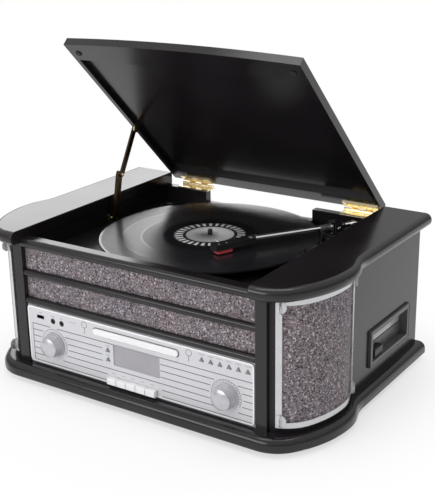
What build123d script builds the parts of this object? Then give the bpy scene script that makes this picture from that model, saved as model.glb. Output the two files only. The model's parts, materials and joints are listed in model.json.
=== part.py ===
from build123d import *
import os
from math import acos, asin, atan2, cos, degrees, radians, sin, sqrt

# Record player with a radio, a CD tray and a cassette slot, in a lacquered wooden cabinet.
# Millimetres. X runs left to right, Y front to back and Z up. The origin is on the table,
# under the middle of the outline that the cabinet has with its lid open.

# Record and the room round it, which set the width and the depth of the cabinet
record_radius = 150.5
record_thickness = 2.0
record_side_gap = 31.0
record_front_gap = 7.7
record_back_gap = 2.3

# Plan of the plinth and the top
wing_width = 71.0
bulge_step = 10.1
bulge_from_front = 110.4
ogee_length = 55.0
corner_radius = 51.6
corner_rise = 19.7

# Plan of the speaker corners
grille_side_inset = 12.6
grille_bulge_step = 11.7
grille_front_inset = 20.0
grille_corner_radius = 54.5
grille_corner_rise = 8.1

# Heights of the cabinet
foot_height = 6.0
plinth_thickness = 18.0
plinth_roll = 9.5
plinth_under_roll = 3.0
case_height = 171.0
top_thickness = 18.0
top_roll = 8.8
top_inner_roll = 1.5
foot_radius = 14.0
foot_taper = 8
foot_inset = 52.0

# Boards of the cabinet
case_inset = 14.5
side_thickness = 15.0
side_front_lap = 12.5
side_back_inset = 3.0
back_thickness = 12.0
back_inset = 1.0
back_notch_left = -108.0
back_notch_right = 76.0
back_notch_depth = 17.0
well_wall = 12.0
well_depth = 21.0
deck_thickness = 12.0
deck_gap = 0.5

# Front woodwork
pillar_width = 15.5
pillar_inset = 18.0
strip_back_inset = 35.0
baffle_inset = 26.5
cloth_thickness = 1.0
ledge_thickness = 12.0
ledge_drop = 12.0
ledge_inset = 16.5
ledge_roll = 5.8
bead_radius = 5.0
bead_pitch = 39.5
bead_stand = 3.0

# Speaker corners
frame_bottom_gap = 7.0
frame_top_gap = 1.0
frame_thickness = 3.5
frame_band = 7.0
frame_side_gap = 9.0
cloth_recess = 2.0
cloth_gap = 0.2
cut_margin = 1.0
driver_radius = 38.0
driver_depth = 34.0
driver_clearance = 0.5
driver_rim = 4.0
cone_radius = 31.0
cone_depth = 9.0
cone_taper = 40
basket_taper = 30
screw_radius = 3.2
screw_rise = 1.2
screw_shank_radius = 1.5
screw_hole_clearance = 0.1
screw_seat_gap = 0.1
screw_margin = 9.5
screw_side_shift = 1.0

# Lid and its hinges
lid_open = 44.7
lid_side_gap = 2.8
lid_front_inset = 21.0
lid_bow = 7.0
lid_thickness = 11.0
lid_frame_height = 6.5
lid_front_rail = 32.0
lid_rear_rail = 25.0
lid_side_rail = 7.0
lid_under = 4.3
bumper_radius = 4.5
bumper_height = 1.2
bumper_from_front = 17.0
bumper_from_side = 15.5
hinge_back = 4.0
hinge_rise = 3.0
hinge_radius = 3.2
hinge_pin_radius = 1.3
hinge_from_left = 44.7
hinge_from_right = 32.2
hinge_knuckle = 11.0
knuckle_gap = 0.3
knuckles = 5
hinge_leaf = 1.6
hinge_leaf_length = 12.0
hinge_relief = 4.0
hinge_bore_margin = 1.0
running_clearance = 0.05

# Lid stay
stay_wall_y = 153.0
stay_wall_drop = 15.0
stay_lid_u = 153.0
stay_lid_drop = 1.0
stay_slack = 1.55
stay_difference = 4.6
lower_arm_thickness = 5.0
lower_arm_width = 9.0
upper_arm_thickness = 3.0
upper_arm_width = 8.0
stay_stand = 5.5
stay_gap = 0.5
stay_pin_radius = 2.0
stay_plate = 2.0
stay_plate_width = 11.0
stay_plate_corner = 2.0

# Turntable
platter_x = 2.0
platter_radius = 98.0
platter_thickness = 9.6
platter_clearance = 3.0
platter_recess = 1.0
platter_lip = 4.0
record_label_radius = 50.0
record_label_relief = 0.15
record_hole_clearance = 0.05
spindle_radius = 3.6
spindle_tip_radius = 3.4
spindle_height = 8.0
spindle_collar = 3
shaft_radius = 4.0
bearing_radius = 9.0
bearing_depth = 26.0
bearing_top_gap = 1.0
bearing_floor = 3.0
shaft_end_gap = 4.0
pulley_radius = 8.0
pulley_gap = 11.0
pulley_bearing = 135.0
pulley_height = 6.0
motor_radius = 17.5
motor_length = 24.0
motor_shaft_radius = 1.2
motor_shaft_gap = 0.5
motor_shaft_reach = 8.0
motor_bore_depth = 14.0
belt_thickness = 1.0
belt_width = 4.0
belt_gap = 0.3

# Tonearm
arm_pivot_bearing = 31.05
arm_record_gap = 0.75
arm_rise = 26.0
arm_direction = 235.8
arm_tube_radius = 3.6
arm_tube_length = 127.0
arm_tail_length = 31.0
arm_offset_angle = 10.9
arm_base_radius = 18.0
arm_base_height = 13.5
arm_base_gap = 0.4
arm_base_edge = 2.0
gimbal_radius = 15.0
gimbal_thickness = 4.0
gimbal_shaft_radius = 3.0
gimbal_shaft_length = 11.0
yoke_spacing = 17.0
yoke_thickness = 3.5
yoke_width = 10.0
yoke_over_arm = 7.0
trunnion_radius = 1.5
arm_block_length = 13.0
arm_block_width = 15.0
arm_block_height = 9.0
shell_length = 61.0
shell_width = 15.0
shell_height = 7.0
shell_wall = 1.6
shell_rise = 2.2
shell_socket = 8.0
shell_corner = 3.0
cartridge_length = 22.0
cartridge_width = 11.0
cartridge_from_tip = 3.5
stylus_gap = 0.25
stylus_length = 1.6
stylus_radius = 0.6
rest_distance = 112.0
rest_turn = 38.0
rest_inside = 2.4
rest_outside = 8.0
rest_depth = 8.0
rest_gap = 0.5
rest_lip = 2.5
rest_lip_height = 6.0

# Switches on the deck
switch_from_wall = 31.5
speed_switch_from_back = 39.0
stop_switch_from_back = 56.0
switch_knob = (9.0, 6.0)
switch_knob_corner = 1.5
switch_knob_height = 6.0
switch_stem = 3.0
switch_stem_rise = 1.0
speed_travel = 12.0
stop_travel = 6.0
switch_gap = 0.4
switch_slot_clearance = 0.5

# Control panel
panel_side_gap = 2.2
panel_bottom_gap = 3.0
panel_top_gap = 0.5
panel_height = 81.0
panel_corner = 5.0
panel_inset = 19.5
panel_thickness = 3.0
panel_flange = 2.5
display_left = -33.0
display_width = 72.5
display_rise = 27.8
display_height = 28.2
display_depth = 9.0
display_recess = 0.6
volume_from_left = 44.7
volume_rise = 32.3
tuning_from_right = 39.8
tuning_rise = 29.5
knob_skirt_radius = 17.5
knob_skirt = 2.0
knob_radius = 16.4
knob_cap_radius = 13.4
knob_length = 17.0
knob_gap = 0.5
knob_shaft_radius = 3.0
knob_shaft_end = 6.0
knob_dome = 3.5
knob_flutes = 36
knob_flute_radius = 0.6
knob_flute_length = 9.0
track_buttons_from_right = 74.8
track_button_pitch = 13.2
track_button_rise = 68.5
track_buttons = 6
track_button_radius = 3.6
button_proud = 1.4
button_length = 7.0
button_clearance = 0.35
side_button_gap = 9.7
side_button_rises = (45.9, 32.8)
key_first_x = -34.3
key_pitch = 15.5
key_width = 14.9
key_count = 5
key_height = 9.0
key_rise = 5.2
key_edge = 1.2
key_proud = 7.0
key_clearance = 0.5
tray_x = 2.6
tray_rise = 68.4
tray_length = 135.0
tray_height = 8.6
tray_bar = 4.0
tray_proud = 2.0
tray_plate_width = 128.0
tray_plate_thickness = 5.0
tray_plate_length = 134.0
tray_clearance = 0.5
tray_slot = (44.0, 34.0)
disc_recess_radius = 60.5
disc_recess_depth = 1.5
disc_centre_from_end = 64.0
usb_from_left = 22.3
usb_rise = 67.5
usb_size = (12.5, 5.0)
usb_wall = (0.5, 0.35)
jacks_from_left = (44.3, 59.3)
jack_rises = (65.8, 65.6)
jack_bore_radius = 1.8
jack_radius = 4.0
socket_depth = 14.0
socket_floor = 2.0

# Cassette slot in the right side
cassette_from_front = 204.0
cassette_span = 121.5
cassette_rise = 18.0
cassette_height = 52.0
bezel_corner = 2.0
bezel_band = 7.0
bezel_proud = 3.0
bezel_depth = 24.0
bezel_wall = 3.0
slot_span = 103.0
slot_height = 17.0
slot_from_top = 9.5
door_thickness = 2.0
door_gap = 0.5
door_recess = 8.0
door_pin_radius = 1.0
door_barrel_radius = 1.9
door_pin_length = 2.5
eject_span = 24.0
eject_height = 11.0
eject_from_front = 12.5
eject_rise = 1.0
eject_edge = 1.0
eject_proud = 0.5
eject_length = 16.0
eject_clearance = 0.4

# Mechanisms, electronics and sockets inside
mechanism_wall = 3.0
cd_box_width = 150.0
cd_box_depth = 152.0
cd_box_height = 27.0
cd_box_drop = 4.0
disc_space_height = 14.8
tray_room = 1.0
display_room = 1.0
tape_box_width = 62.0
tape_box_height = 32.0
tape_box_margin = 4.0
tape_box_drop = 4.0
cassette_room = 1.0
board_size = (190.0, 110.0)
board_thickness = 1.6
board_stand = 6.0
board_back_gap = 31.0
board_side_gap = 11.0
board_post_radius = 3.0
board_post_inset = 6.0
chip_size = (22.0, 16.0)
chip_height = 6.0
chip_pitch = (47.5, 36.7)
transformer_size = (48.0, 42.0, 38.0)
transformer_side_gap = 9.0
rear_plate_size = (96.0, 46.0)
rear_plate_thickness = 2.0
rear_plate_corner = 2.0
rear_plate_x = -120.0
rear_plate_rise = 46.0
rear_opening_margin = 6.0
socket_offset = 24.0
phono_radius = 4.0
phono_wall = 2.4
phono_length = 7.0
phono_pitch = 16.0
inlet_size = (15.0, 8.0)
inlet_wall = 2.0
inlet_corner = 3.0
inlet_floor = 2.0
inlet_depth = 12.0

# Places that follow from the sizes above
open_cos = cos(radians(lid_open))
open_sin = sin(radians(lid_open))
lid_back_reach = hinge_back * (1 - open_cos) + (lid_under + lid_thickness) * open_sin
well_half = record_radius + record_side_gap
base_depth = (
    strip_back_inset + record_front_gap + 2 * record_radius + record_back_gap
    + back_thickness + back_inset)
side_half = well_half + wing_width
bulge_half = side_half + bulge_step
front_half = bulge_half - corner_radius - corner_rise
case_half = side_half - case_inset
front_y = -(base_depth + lid_back_reach) / 2
back_y = front_y + base_depth
ogee_y = front_y + bulge_from_front + ogee_length
plinth_z = foot_height
case_z = plinth_z + plinth_thickness
case_top = case_z + case_height
cabinet_top = case_top + top_thickness
deck_top = case_top - well_depth
deck_z = deck_top - deck_thickness
pillar_y = front_y + pillar_inset
strip_back = front_y + strip_back_inset
baffle_y = front_y + baffle_inset
panel_y = front_y + panel_inset
side_front = ogee_y - side_front_lap
side_back = back_y - side_back_inset
back_panel_rear = back_y - back_inset
back_panel_front = back_panel_rear - back_thickness
inner_half = case_half - side_thickness
pillar_outer = well_half + pillar_width
ledge_top = cabinet_top - ledge_drop
ledge_z = ledge_top - ledge_thickness
lid_half = well_half - lid_side_gap
hinge_y = back_y + hinge_back
hinge_height = case_top + hinge_rise
platter_y = back_panel_front - record_back_gap - record_radius
platter_z = deck_top + platter_clearance
platter_top = platter_z + platter_thickness
record_top = platter_top + record_thickness
arm_height = deck_top + arm_rise
frame_bottom = case_z + frame_bottom_gap
frame_top = case_top - frame_top_gap
frame_left = pillar_outer + frame_side_gap
panel_half = well_half - panel_side_gap
panel_bottom = case_z + panel_bottom_gap
lower_bead_height = panel_bottom + panel_height + panel_top_gap + bead_radius
upper_bead_height = lower_bead_height + bead_pitch
cloth_bands = (
    (lower_bead_height + bead_radius, upper_bead_height - bead_radius),
    (upper_bead_height + bead_radius, ledge_z))
cassette_bottom = case_z + cassette_rise

plan_curve = (side_half, bulge_half, front_y, front_half, corner_radius)
grille_front = front_y + grille_front_inset
grille_side_half = side_half - grille_side_inset
grille_bulge_half = grille_side_half + grille_bulge_step
grille_front_half = grille_bulge_half - grille_corner_radius - grille_corner_rise
grille_curve = (
    grille_side_half, grille_bulge_half, grille_front, grille_front_half, grille_corner_radius)


def front_plane(y):
    """Plane that faces the front: local x is X, local y is Z, outwards is -Y."""
    return Plane(origin=(0, y, 0), x_dir=(1, 0, 0), z_dir=(0, -1, 0))


def right_plane(x):
    """Plane that faces right: local x is Y, local y is Z, outwards is +X."""
    return Plane(origin=(x, 0, 0), x_dir=(0, 1, 0), z_dir=(1, 0, 0))


def on_circle(centre, radius, angle):
    """Point on a circle at an angle in degrees."""
    return (centre[0] + radius * cos(radians(angle)), centre[1] + radius * sin(radians(angle)))


def curve_arcs(curve):
    """Arcs of one side of a plan curve, from its straight side to its straight front.

    Each arc is its centre, radius, start angle and end angle. The first two make the ogee
    out to the bulge, the others the wide and the tight arc of the corner.
    """
    side, bulge, front, front_end, tight = curve
    step = bulge - side
    ogee = (ogee_length ** 2 + step ** 2) / (4 * step)
    swing = degrees(2 * atan2(step, ogee_length))
    bulge_y = ogee_y - ogee_length
    run = bulge_y - front - tight
    rise = bulge - front_end - tight
    spacing = (run ** 2 + rise ** 2) / (2 * rise)
    wide = spacing + tight
    turn = degrees(atan2(run, spacing - rise))
    return (
        ((side + ogee, ogee_y), ogee, 180, 180 + swing, -1),
        ((bulge - ogee, bulge_y), ogee, swing, 0, 1),
        ((bulge - wide, bulge_y), wide, 0, -turn, 1),
        ((front_end, front + tight), tight, -turn, -90, 1),
    )


def plan_face(curve, inset, rear):
    """Plan of the cabinet inside a curve moved inwards by inset, back to rear."""
    side, bulge, front, front_end, tight = curve
    with BuildSketch() as face:
        with BuildLine():
            points = [(0, rear), (side - inset, rear), (side - inset, ogee_y)]
            Polyline(*points)
            for centre, radius, start, end, sense in curve_arcs(curve):
                size = radius - sense * inset
                middle = (start + end) / 2
                ThreePointArc(
                    on_circle(centre, size, start),
                    on_circle(centre, size, middle),
                    on_circle(centre, size, end),
                )
            Line((front_end, front + inset), (0, front + inset))
            mirror(about=Plane.YZ)
        make_face()
    return face.sketch


def outer_rim(face, y_limit):
    """Edges of a top or bottom face that lie in front of y_limit."""
    return face.edges().filter_by(lambda edge: edge.center().Y < y_limit)


# Plinth: a board with a rolled upper edge, square at the back
with BuildPart() as base_plinth:
    with BuildSketch(Plane.XY.offset(plinth_z)):
        add(plan_face(plan_curve, 0, back_y))
    extrude(amount=plinth_thickness)
    fillet(outer_rim(base_plinth.faces().sort_by(Axis.Z)[-1], back_y - 1), plinth_roll)
    fillet(outer_rim(base_plinth.faces().sort_by(Axis.Z)[0], back_y - 1), plinth_under_roll)

foot_places = [
    (sign * (side_half - foot_inset), y)
    for sign in (-1, 1) for y in (front_y + foot_inset, back_y - foot_inset)]
with BuildPart() as rubber_feet:
    with BuildSketch(Plane.XY.offset(foot_height)):
        with Locations(*foot_places):
            Circle(foot_radius)
    extrude(amount=-foot_height, taper=foot_taper)

# Cut-out of the right side for the cassette bezel
cassette_mid_y = front_y + cassette_from_front + cassette_span / 2
cassette_mid_z = cassette_bottom + cassette_height / 2
bezel_hole = (cassette_span - 2 * bezel_wall, cassette_height - 2 * bezel_wall)
with BuildPart() as side_panels:
    for sign in (-1, 1):
        with BuildSketch(Plane.XY.offset(case_z)):
            with Locations((sign * (case_half - side_thickness / 2), side_front)):
                Rectangle(side_thickness, side_back - side_front, align=(Align.CENTER, Align.MIN))
        extrude(amount=case_height)
    with BuildSketch(right_plane(inner_half)):
        with Locations((cassette_mid_y, cassette_mid_z)):
            Rectangle(*bezel_hole)
    extrude(amount=side_thickness, mode=Mode.SUBTRACT)

rear_plate_height = case_z + rear_plate_rise
rear_hole = (
    rear_plate_size[0] - 2 * rear_opening_margin, rear_plate_size[1] - 2 * rear_opening_margin)
with BuildPart() as back_panel:
    with BuildSketch(front_plane(back_panel_front)):
        with Locations((0, case_z)):
            Rectangle(2 * inner_half, case_height, align=(Align.CENTER, Align.MIN))
        with Locations((back_notch_left, case_top)):
            Rectangle(back_notch_right - back_notch_left, back_notch_depth,
                      align=(Align.MIN, Align.MAX), mode=Mode.SUBTRACT)
        with Locations((rear_plate_x, rear_plate_height)):
            Rectangle(*rear_hole, mode=Mode.SUBTRACT)
    extrude(amount=-back_thickness)

# Top boards left and right of the lid, with a bullnose along the outside
with BuildPart() as top_wings:
    with BuildSketch(Plane.XY.offset(case_top)):
        add(plan_face(plan_curve, 0, back_y))
        Rectangle(2 * well_half, 2 * base_depth, mode=Mode.SUBTRACT)
    extrude(amount=top_thickness)
    for face in (top_wings.faces().group_by(Axis.Z)[-1], top_wings.faces().group_by(Axis.Z)[0]):
        rim = face.edges().filter_by(
            lambda edge: edge.center().Y < back_y - 1 and abs(edge.center().X) > well_half + 1)
        fillet(rim, top_roll)
    inner_edges = top_wings.edges().filter_by(
        lambda edge: abs(abs(edge.center().X) - well_half) < 0.01 and edge.length > base_depth / 2)
    fillet(inner_edges.group_by(Axis.Z)[-1], top_inner_roll)

with BuildPart() as well_walls:
    with BuildSketch(Plane.XY.offset(deck_top)):
        for sign in (-1, 1):
            with Locations((sign * (well_half + well_wall / 2), strip_back)):
                Rectangle(well_wall, back_panel_front - strip_back, align=(Align.CENTER, Align.MIN))
    extrude(amount=well_depth)

with BuildPart() as front_pillars:
    with BuildSketch(Plane.XY.offset(case_z)):
        for sign in (-1, 1):
            with Locations((sign * (well_half + pillar_width / 2), pillar_y)):
                Rectangle(pillar_width, strip_back - pillar_y, align=(Align.CENTER, Align.MIN))
    extrude(amount=case_height)

# Baffle behind the two bands of cloth, between the panel's head bead and the ledge
baffle_z = lower_bead_height - bead_radius
with BuildPart() as front_baffle:
    with BuildSketch(front_plane(baffle_y)):
        with Locations((0, baffle_z)):
            Rectangle(2 * well_half, ledge_z - baffle_z, align=(Align.CENTER, Align.MIN))
    extrude(amount=baffle_y - strip_back)

# Ledge in front of the lid and the two half-round beads, all cut between the pillars
with BuildPart() as front_mouldings:
    with BuildSketch(right_plane(-well_half)):
        with Locations((front_y + ledge_inset, ledge_z)):
            Rectangle(strip_back_inset - ledge_inset, ledge_thickness, align=(Align.MIN, Align.MIN))
    extrude(amount=2 * well_half)
    nose = front_mouldings.edges().filter_by(Axis.X).group_by(Axis.Y)[0]
    fillet(nose, ledge_roll)
    with BuildSketch(right_plane(-well_half)):
        for height in (upper_bead_height, lower_bead_height):
            with Locations((baffle_y, height)):
                Rectangle(bead_stand, 2 * bead_radius, align=(Align.MAX, Align.CENTER))
            with Locations((baffle_y - bead_stand, height)):
                Circle(bead_radius)
        with Locations((baffle_y, case_z)):
            Rectangle(base_depth, case_height, align=(Align.MIN, Align.MIN), mode=Mode.SUBTRACT)
    extrude(amount=2 * well_half)

# Corner blocks that carry the speakers, cut to the curve behind the grilles
with BuildSketch() as housing_limit:
    Polygon(
        (pillar_outer, front_y), (bulge_half, front_y), (bulge_half, side_front),
        (inner_half, side_front), (pillar_outer, strip_back), align=None)
diagonal = Vector(inner_half - pillar_outer, side_front - strip_back, 0).normalized()
speaker_axis = Vector(diagonal.Y, -diagonal.X, 0)
speaker_mid = Vector((inner_half + pillar_outer) / 2, (side_front + strip_back) / 2, 0)
speaker_height = (frame_bottom + frame_top) / 2
speaker_plane = Plane(
    origin=(speaker_mid.X, speaker_mid.Y, speaker_height),
    x_dir=(diagonal.X, diagonal.Y, 0), z_dir=(speaker_axis.X, speaker_axis.Y, 0))
with BuildPart() as corner_housings:
    with BuildSketch(Plane.XY.offset(case_z)):
        add(plan_face(grille_curve, frame_thickness, side_front))
        add(housing_limit.sketch, mode=Mode.INTERSECT)
    extrude(amount=case_height)
    with BuildSketch(speaker_plane):
        Circle(driver_radius + driver_clearance)
    extrude(amount=bulge_half - inner_half + corner_radius, mode=Mode.SUBTRACT)
    mirror(about=Plane.YZ)

with BuildPart() as speaker_drivers:
    with BuildSketch(speaker_plane):
        Circle(driver_radius)
    extrude(amount=driver_rim)
    with BuildSketch(speaker_plane):
        Circle(cone_radius)
    extrude(amount=-driver_depth / 2, taper=basket_taper)
    with BuildSketch(speaker_plane.offset(-driver_depth / 2)):
        Circle(driver_radius / 2)
    extrude(amount=-driver_depth / 2)
    with BuildSketch(speaker_plane.offset(driver_rim)):
        Circle(cone_radius)
    extrude(amount=-cone_depth, taper=cone_taper, mode=Mode.SUBTRACT)
    mirror(about=Plane.YZ)


def grille_slice(outer_inset, inner_inset, left, rear):
    """Slice of the speaker curve between two insets, from x = left back to y = rear."""
    with BuildSketch() as ring:
        add(plan_face(grille_curve, outer_inset, back_y))
        add(plan_face(grille_curve, inner_inset, back_y + cut_margin), mode=Mode.SUBTRACT)
        with Locations((left, rear)):
            Rectangle(bulge_half, base_depth, align=(Align.MIN, Align.MAX), mode=Mode.INTERSECT)
    return ring.sketch


# Woven cloth on the baffle and in the two curved speaker frames
with BuildPart() as grille_cloth:
    with BuildSketch(front_plane(baffle_y)):
        for low, high in cloth_bands:
            with Locations((0, low)):
                Rectangle(2 * well_half, high - low, align=(Align.CENTER, Align.MIN))
    extrude(amount=cloth_thickness)
    for sign in (1, -1):
        with BuildSketch(Plane.XY.offset(frame_bottom + frame_band + cloth_gap)):
            piece = grille_slice(
                cloth_recess, frame_thickness,
                frame_left + frame_band + cloth_gap, side_front - frame_band - cloth_gap)
            add(piece if sign > 0 else mirror(piece, about=Plane.YZ, mode=Mode.PRIVATE))
        extrude(amount=frame_top - frame_bottom - 2 * (frame_band + cloth_gap))


def frame_point(x):
    """Point and outward direction on the tight arc of the speaker curve at x."""
    centre, radius = curve_arcs(grille_curve)[3][:2]
    angle = -degrees(acos((x - centre[0]) / radius))
    return on_circle(centre, radius, angle), (cos(radians(angle)), sin(radians(angle)))


def frame_end_point(y):
    """Point and outward direction on the first arc of the speaker curve at y."""
    centre, radius = curve_arcs(grille_curve)[0][:2]
    lean = (centre[1] - y) / radius
    x = centre[0] - sqrt(radius ** 2 - (centre[1] - y) ** 2)
    return (x, y), (sqrt(1 - lean ** 2), lean)


frame_screw_points = (
    frame_point(frame_left + frame_band / 2 + screw_side_shift),
    frame_end_point(side_front - frame_band / 2))
screw_seats = [
    Plane(origin=(*point, height), z_dir=(*direction, 0))
    for point, direction in frame_screw_points
    for height in (frame_bottom + screw_margin, frame_top - screw_margin)]
with BuildPart() as speaker_frames:
    with BuildSketch(Plane.XY.offset(frame_bottom)):
        add(grille_slice(0, frame_thickness, frame_left, side_front))
    extrude(amount=frame_top - frame_bottom)
    with BuildSketch(Plane.XY.offset(frame_bottom + frame_band)):
        add(grille_slice(
            -cut_margin, frame_thickness + cut_margin,
            frame_left + frame_band, side_front - frame_band))
    extrude(amount=frame_top - frame_bottom - 2 * frame_band, mode=Mode.SUBTRACT)
    for seat in screw_seats:
        with BuildSketch(seat.offset(screw_rise)):
            Circle(screw_shank_radius + screw_hole_clearance)
        extrude(amount=-(screw_rise + 2 * frame_thickness), mode=Mode.SUBTRACT)
    mirror(about=Plane.YZ)

with BuildPart() as frame_screws:
    for seat in screw_seats:
        with BuildSketch(seat.offset(screw_seat_gap)):
            Circle(screw_radius)
        extrude(amount=screw_rise)
        with BuildSketch(seat.offset(screw_seat_gap)):
            Circle(screw_shank_radius)
        extrude(amount=-frame_thickness)
    mirror(about=Plane.YZ)

# Turntable deck: it fills the case behind the baffle and carries everything that plays
deck_front = strip_back
deck_back = back_panel_front
pulley_reach = platter_radius + pulley_gap + pulley_radius
pulley_place = on_circle((platter_x, platter_y), pulley_reach, pulley_bearing)
arm_pivot_reach = record_radius + arm_record_gap + arm_base_radius
arm_pivot = on_circle((platter_x, platter_y), arm_pivot_reach, arm_pivot_bearing)
switch_x = switch_from_wall - well_half
switch_places = (
    (switch_x, back_panel_front - speed_switch_from_back, speed_travel),
    (switch_x, back_panel_front - stop_switch_from_back, stop_travel))
with BuildPart() as motor_board:
    with BuildSketch(Plane.XY.offset(deck_z)):
        Polygon(
            (-pillar_outer + deck_gap, deck_front), (pillar_outer - deck_gap, deck_front),
            (inner_half - deck_gap, side_front), (inner_half - deck_gap, deck_back),
            (-inner_half + deck_gap, deck_back), (-inner_half + deck_gap, side_front), align=None)
        with Locations((platter_x, platter_y)):
            Circle(bearing_radius, mode=Mode.SUBTRACT)
        with Locations(pulley_place):
            Circle(motor_shaft_radius + motor_shaft_gap, mode=Mode.SUBTRACT)
        with Locations(arm_pivot):
            Circle(gimbal_shaft_radius + running_clearance, mode=Mode.SUBTRACT)
        for x, y, travel in switch_places:
            with Locations((x + travel / 2, y)):
                Rectangle(travel + switch_stem + 2 * switch_slot_clearance,
                          switch_stem + 2 * switch_slot_clearance, mode=Mode.SUBTRACT)
    extrude(amount=deck_thickness)

with BuildPart() as spindle_bearing:
    with BuildSketch(Plane.XY.offset(platter_z - bearing_top_gap)):
        with Locations((platter_x, platter_y)):
            Circle(bearing_radius)
    extrude(amount=-bearing_depth)
    with BuildSketch(Plane.XY.offset(platter_z - bearing_top_gap)):
        with Locations((platter_x, platter_y)):
            Circle(shaft_radius + running_clearance)
    extrude(amount=bearing_floor - bearing_depth, mode=Mode.SUBTRACT)

# Platter: recessed for a mat, with the spindle and its shaft in one piece
with BuildPart() as platter:
    with BuildSketch(Plane.XY.offset(platter_z)):
        with Locations((platter_x, platter_y)):
            Circle(platter_radius)
    extrude(amount=platter_thickness)
    with BuildSketch(Plane.XY.offset(platter_top)):
        with Locations((platter_x, platter_y)):
            Circle(platter_radius - platter_lip)
            Circle(spindle_radius * spindle_collar, mode=Mode.SUBTRACT)
    extrude(amount=-platter_recess, mode=Mode.SUBTRACT)
    with BuildSketch(Plane.XY.offset(record_top)):
        with Locations((platter_x, platter_y)):
            Circle(spindle_tip_radius)
    extrude(amount=spindle_height)
    fillet(platter.edges().sort_by(Axis.Z)[-1], spindle_tip_radius * 0.8)
    with BuildSketch(Plane.XY.offset(record_top)):
        with Locations((platter_x, platter_y)):
            Circle(spindle_radius)
    extrude(amount=-platter_thickness)
    with BuildSketch(Plane.XY.offset(platter_z)):
        with Locations((platter_x, platter_y)):
            Circle(shaft_radius)
    extrude(amount=bearing_floor + shaft_end_gap - bearing_top_gap - bearing_depth)

with BuildPart() as record:
    with BuildSketch(Plane.XY.offset(platter_top)):
        with Locations((platter_x, platter_y)):
            Circle(record_radius)
            Circle(spindle_radius + record_hole_clearance, mode=Mode.SUBTRACT)
    extrude(amount=record_thickness)
    with BuildSketch(Plane.XY.offset(record_top)):
        with Locations((platter_x, platter_y)):
            Circle(record_label_radius)
            Circle(spindle_radius + record_hole_clearance, mode=Mode.SUBTRACT)
    extrude(amount=-record_label_relief, mode=Mode.SUBTRACT)

belt_middle = platter_z + platter_thickness / 2
with BuildPart() as motor_pulley:
    with BuildSketch(Plane.XY.offset(belt_middle - pulley_height / 2)):
        with Locations(pulley_place):
            Circle(pulley_radius)
    extrude(amount=pulley_height)
    with BuildSketch(Plane.XY.offset(belt_middle + pulley_height / 2)):
        with Locations(pulley_place):
            Circle(motor_shaft_radius)
    extrude(amount=-(pulley_height + deck_thickness + motor_shaft_reach))

with BuildPart() as turntable_motor:
    with BuildSketch(Plane.XY.offset(deck_z)):
        with Locations(pulley_place):
            Circle(motor_radius)
    extrude(amount=-motor_length)
    with BuildSketch(Plane.XY.offset(deck_z)):
        with Locations(pulley_place):
            Circle(motor_shaft_radius + running_clearance)
    extrude(amount=-motor_bore_depth, mode=Mode.SUBTRACT)

# Flat belt round the platter and the pulley: two arcs and the two tangents between them
belt_slope = degrees(acos((platter_radius - pulley_radius) / pulley_reach))


def belt_loop(gap):
    """Closed belt line that stands off the platter and the pulley by gap."""
    low, high = pulley_bearing - belt_slope, pulley_bearing + belt_slope
    far = pulley_bearing + 180
    big = [on_circle((platter_x, platter_y), platter_radius + gap, a) for a in (low, far, high)]
    small = [on_circle(pulley_place, pulley_radius + gap, a) for a in (high, pulley_bearing, low)]
    with BuildSketch() as loop:
        with BuildLine():
            ThreePointArc(*big)
            Line(big[2], small[0])
            ThreePointArc(*small)
            Line(small[2], big[0])
        make_face()
    return loop.sketch


with BuildPart() as drive_belt:
    with BuildSketch(Plane.XY.offset(belt_middle - belt_width / 2)):
        add(belt_loop(belt_gap + belt_thickness))
        add(belt_loop(belt_gap), mode=Mode.SUBTRACT)
    extrude(amount=belt_width)

# Tonearm: its own plane has local x along the tube towards the record and local z up
arm_x = (cos(radians(arm_direction)), sin(radians(arm_direction)), 0)
arm_base_top = deck_top + arm_base_height
arm_plane = Plane(origin=(*arm_pivot, arm_height), x_dir=arm_x, z_dir=(0, 0, 1))
tube_plane = Plane(
    origin=(*arm_pivot, arm_height), x_dir=(-arm_x[1], arm_x[0], 0), z_dir=arm_x)
rest_angle = arm_direction + rest_turn
rest_x = (cos(radians(rest_angle)), sin(radians(rest_angle)), 0)
rest_point = on_circle(arm_pivot, rest_distance, rest_angle)
rest_plane = Plane(origin=(*rest_point, deck_top), x_dir=rest_x, z_dir=(0, 0, 1))
rest_seat = arm_height - arm_tube_radius - rest_gap - deck_top
with BuildPart() as tonearm_base:
    with BuildSketch(Plane.XY.offset(deck_top)):
        with Locations(arm_pivot):
            Circle(arm_base_radius)
    extrude(amount=arm_base_height)
    fillet(tonearm_base.edges().group_by(Axis.Z)[-1], arm_base_edge)
    with BuildSketch(Plane.XY.offset(deck_top)):
        with Locations(arm_pivot):
            Circle(gimbal_shaft_radius + running_clearance)
    extrude(amount=arm_base_height, mode=Mode.SUBTRACT)
    with BuildSketch(rest_plane):
        with Locations((0, -rest_inside)):
            Rectangle(rest_depth, rest_inside + rest_outside, align=(Align.CENTER, Align.MIN))
    extrude(amount=rest_seat)
    with BuildSketch(rest_plane.offset(rest_seat)):
        with Locations((0, rest_outside)):
            Rectangle(rest_depth, rest_lip, align=(Align.CENTER, Align.MAX))
    extrude(amount=rest_lip_height)

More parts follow.
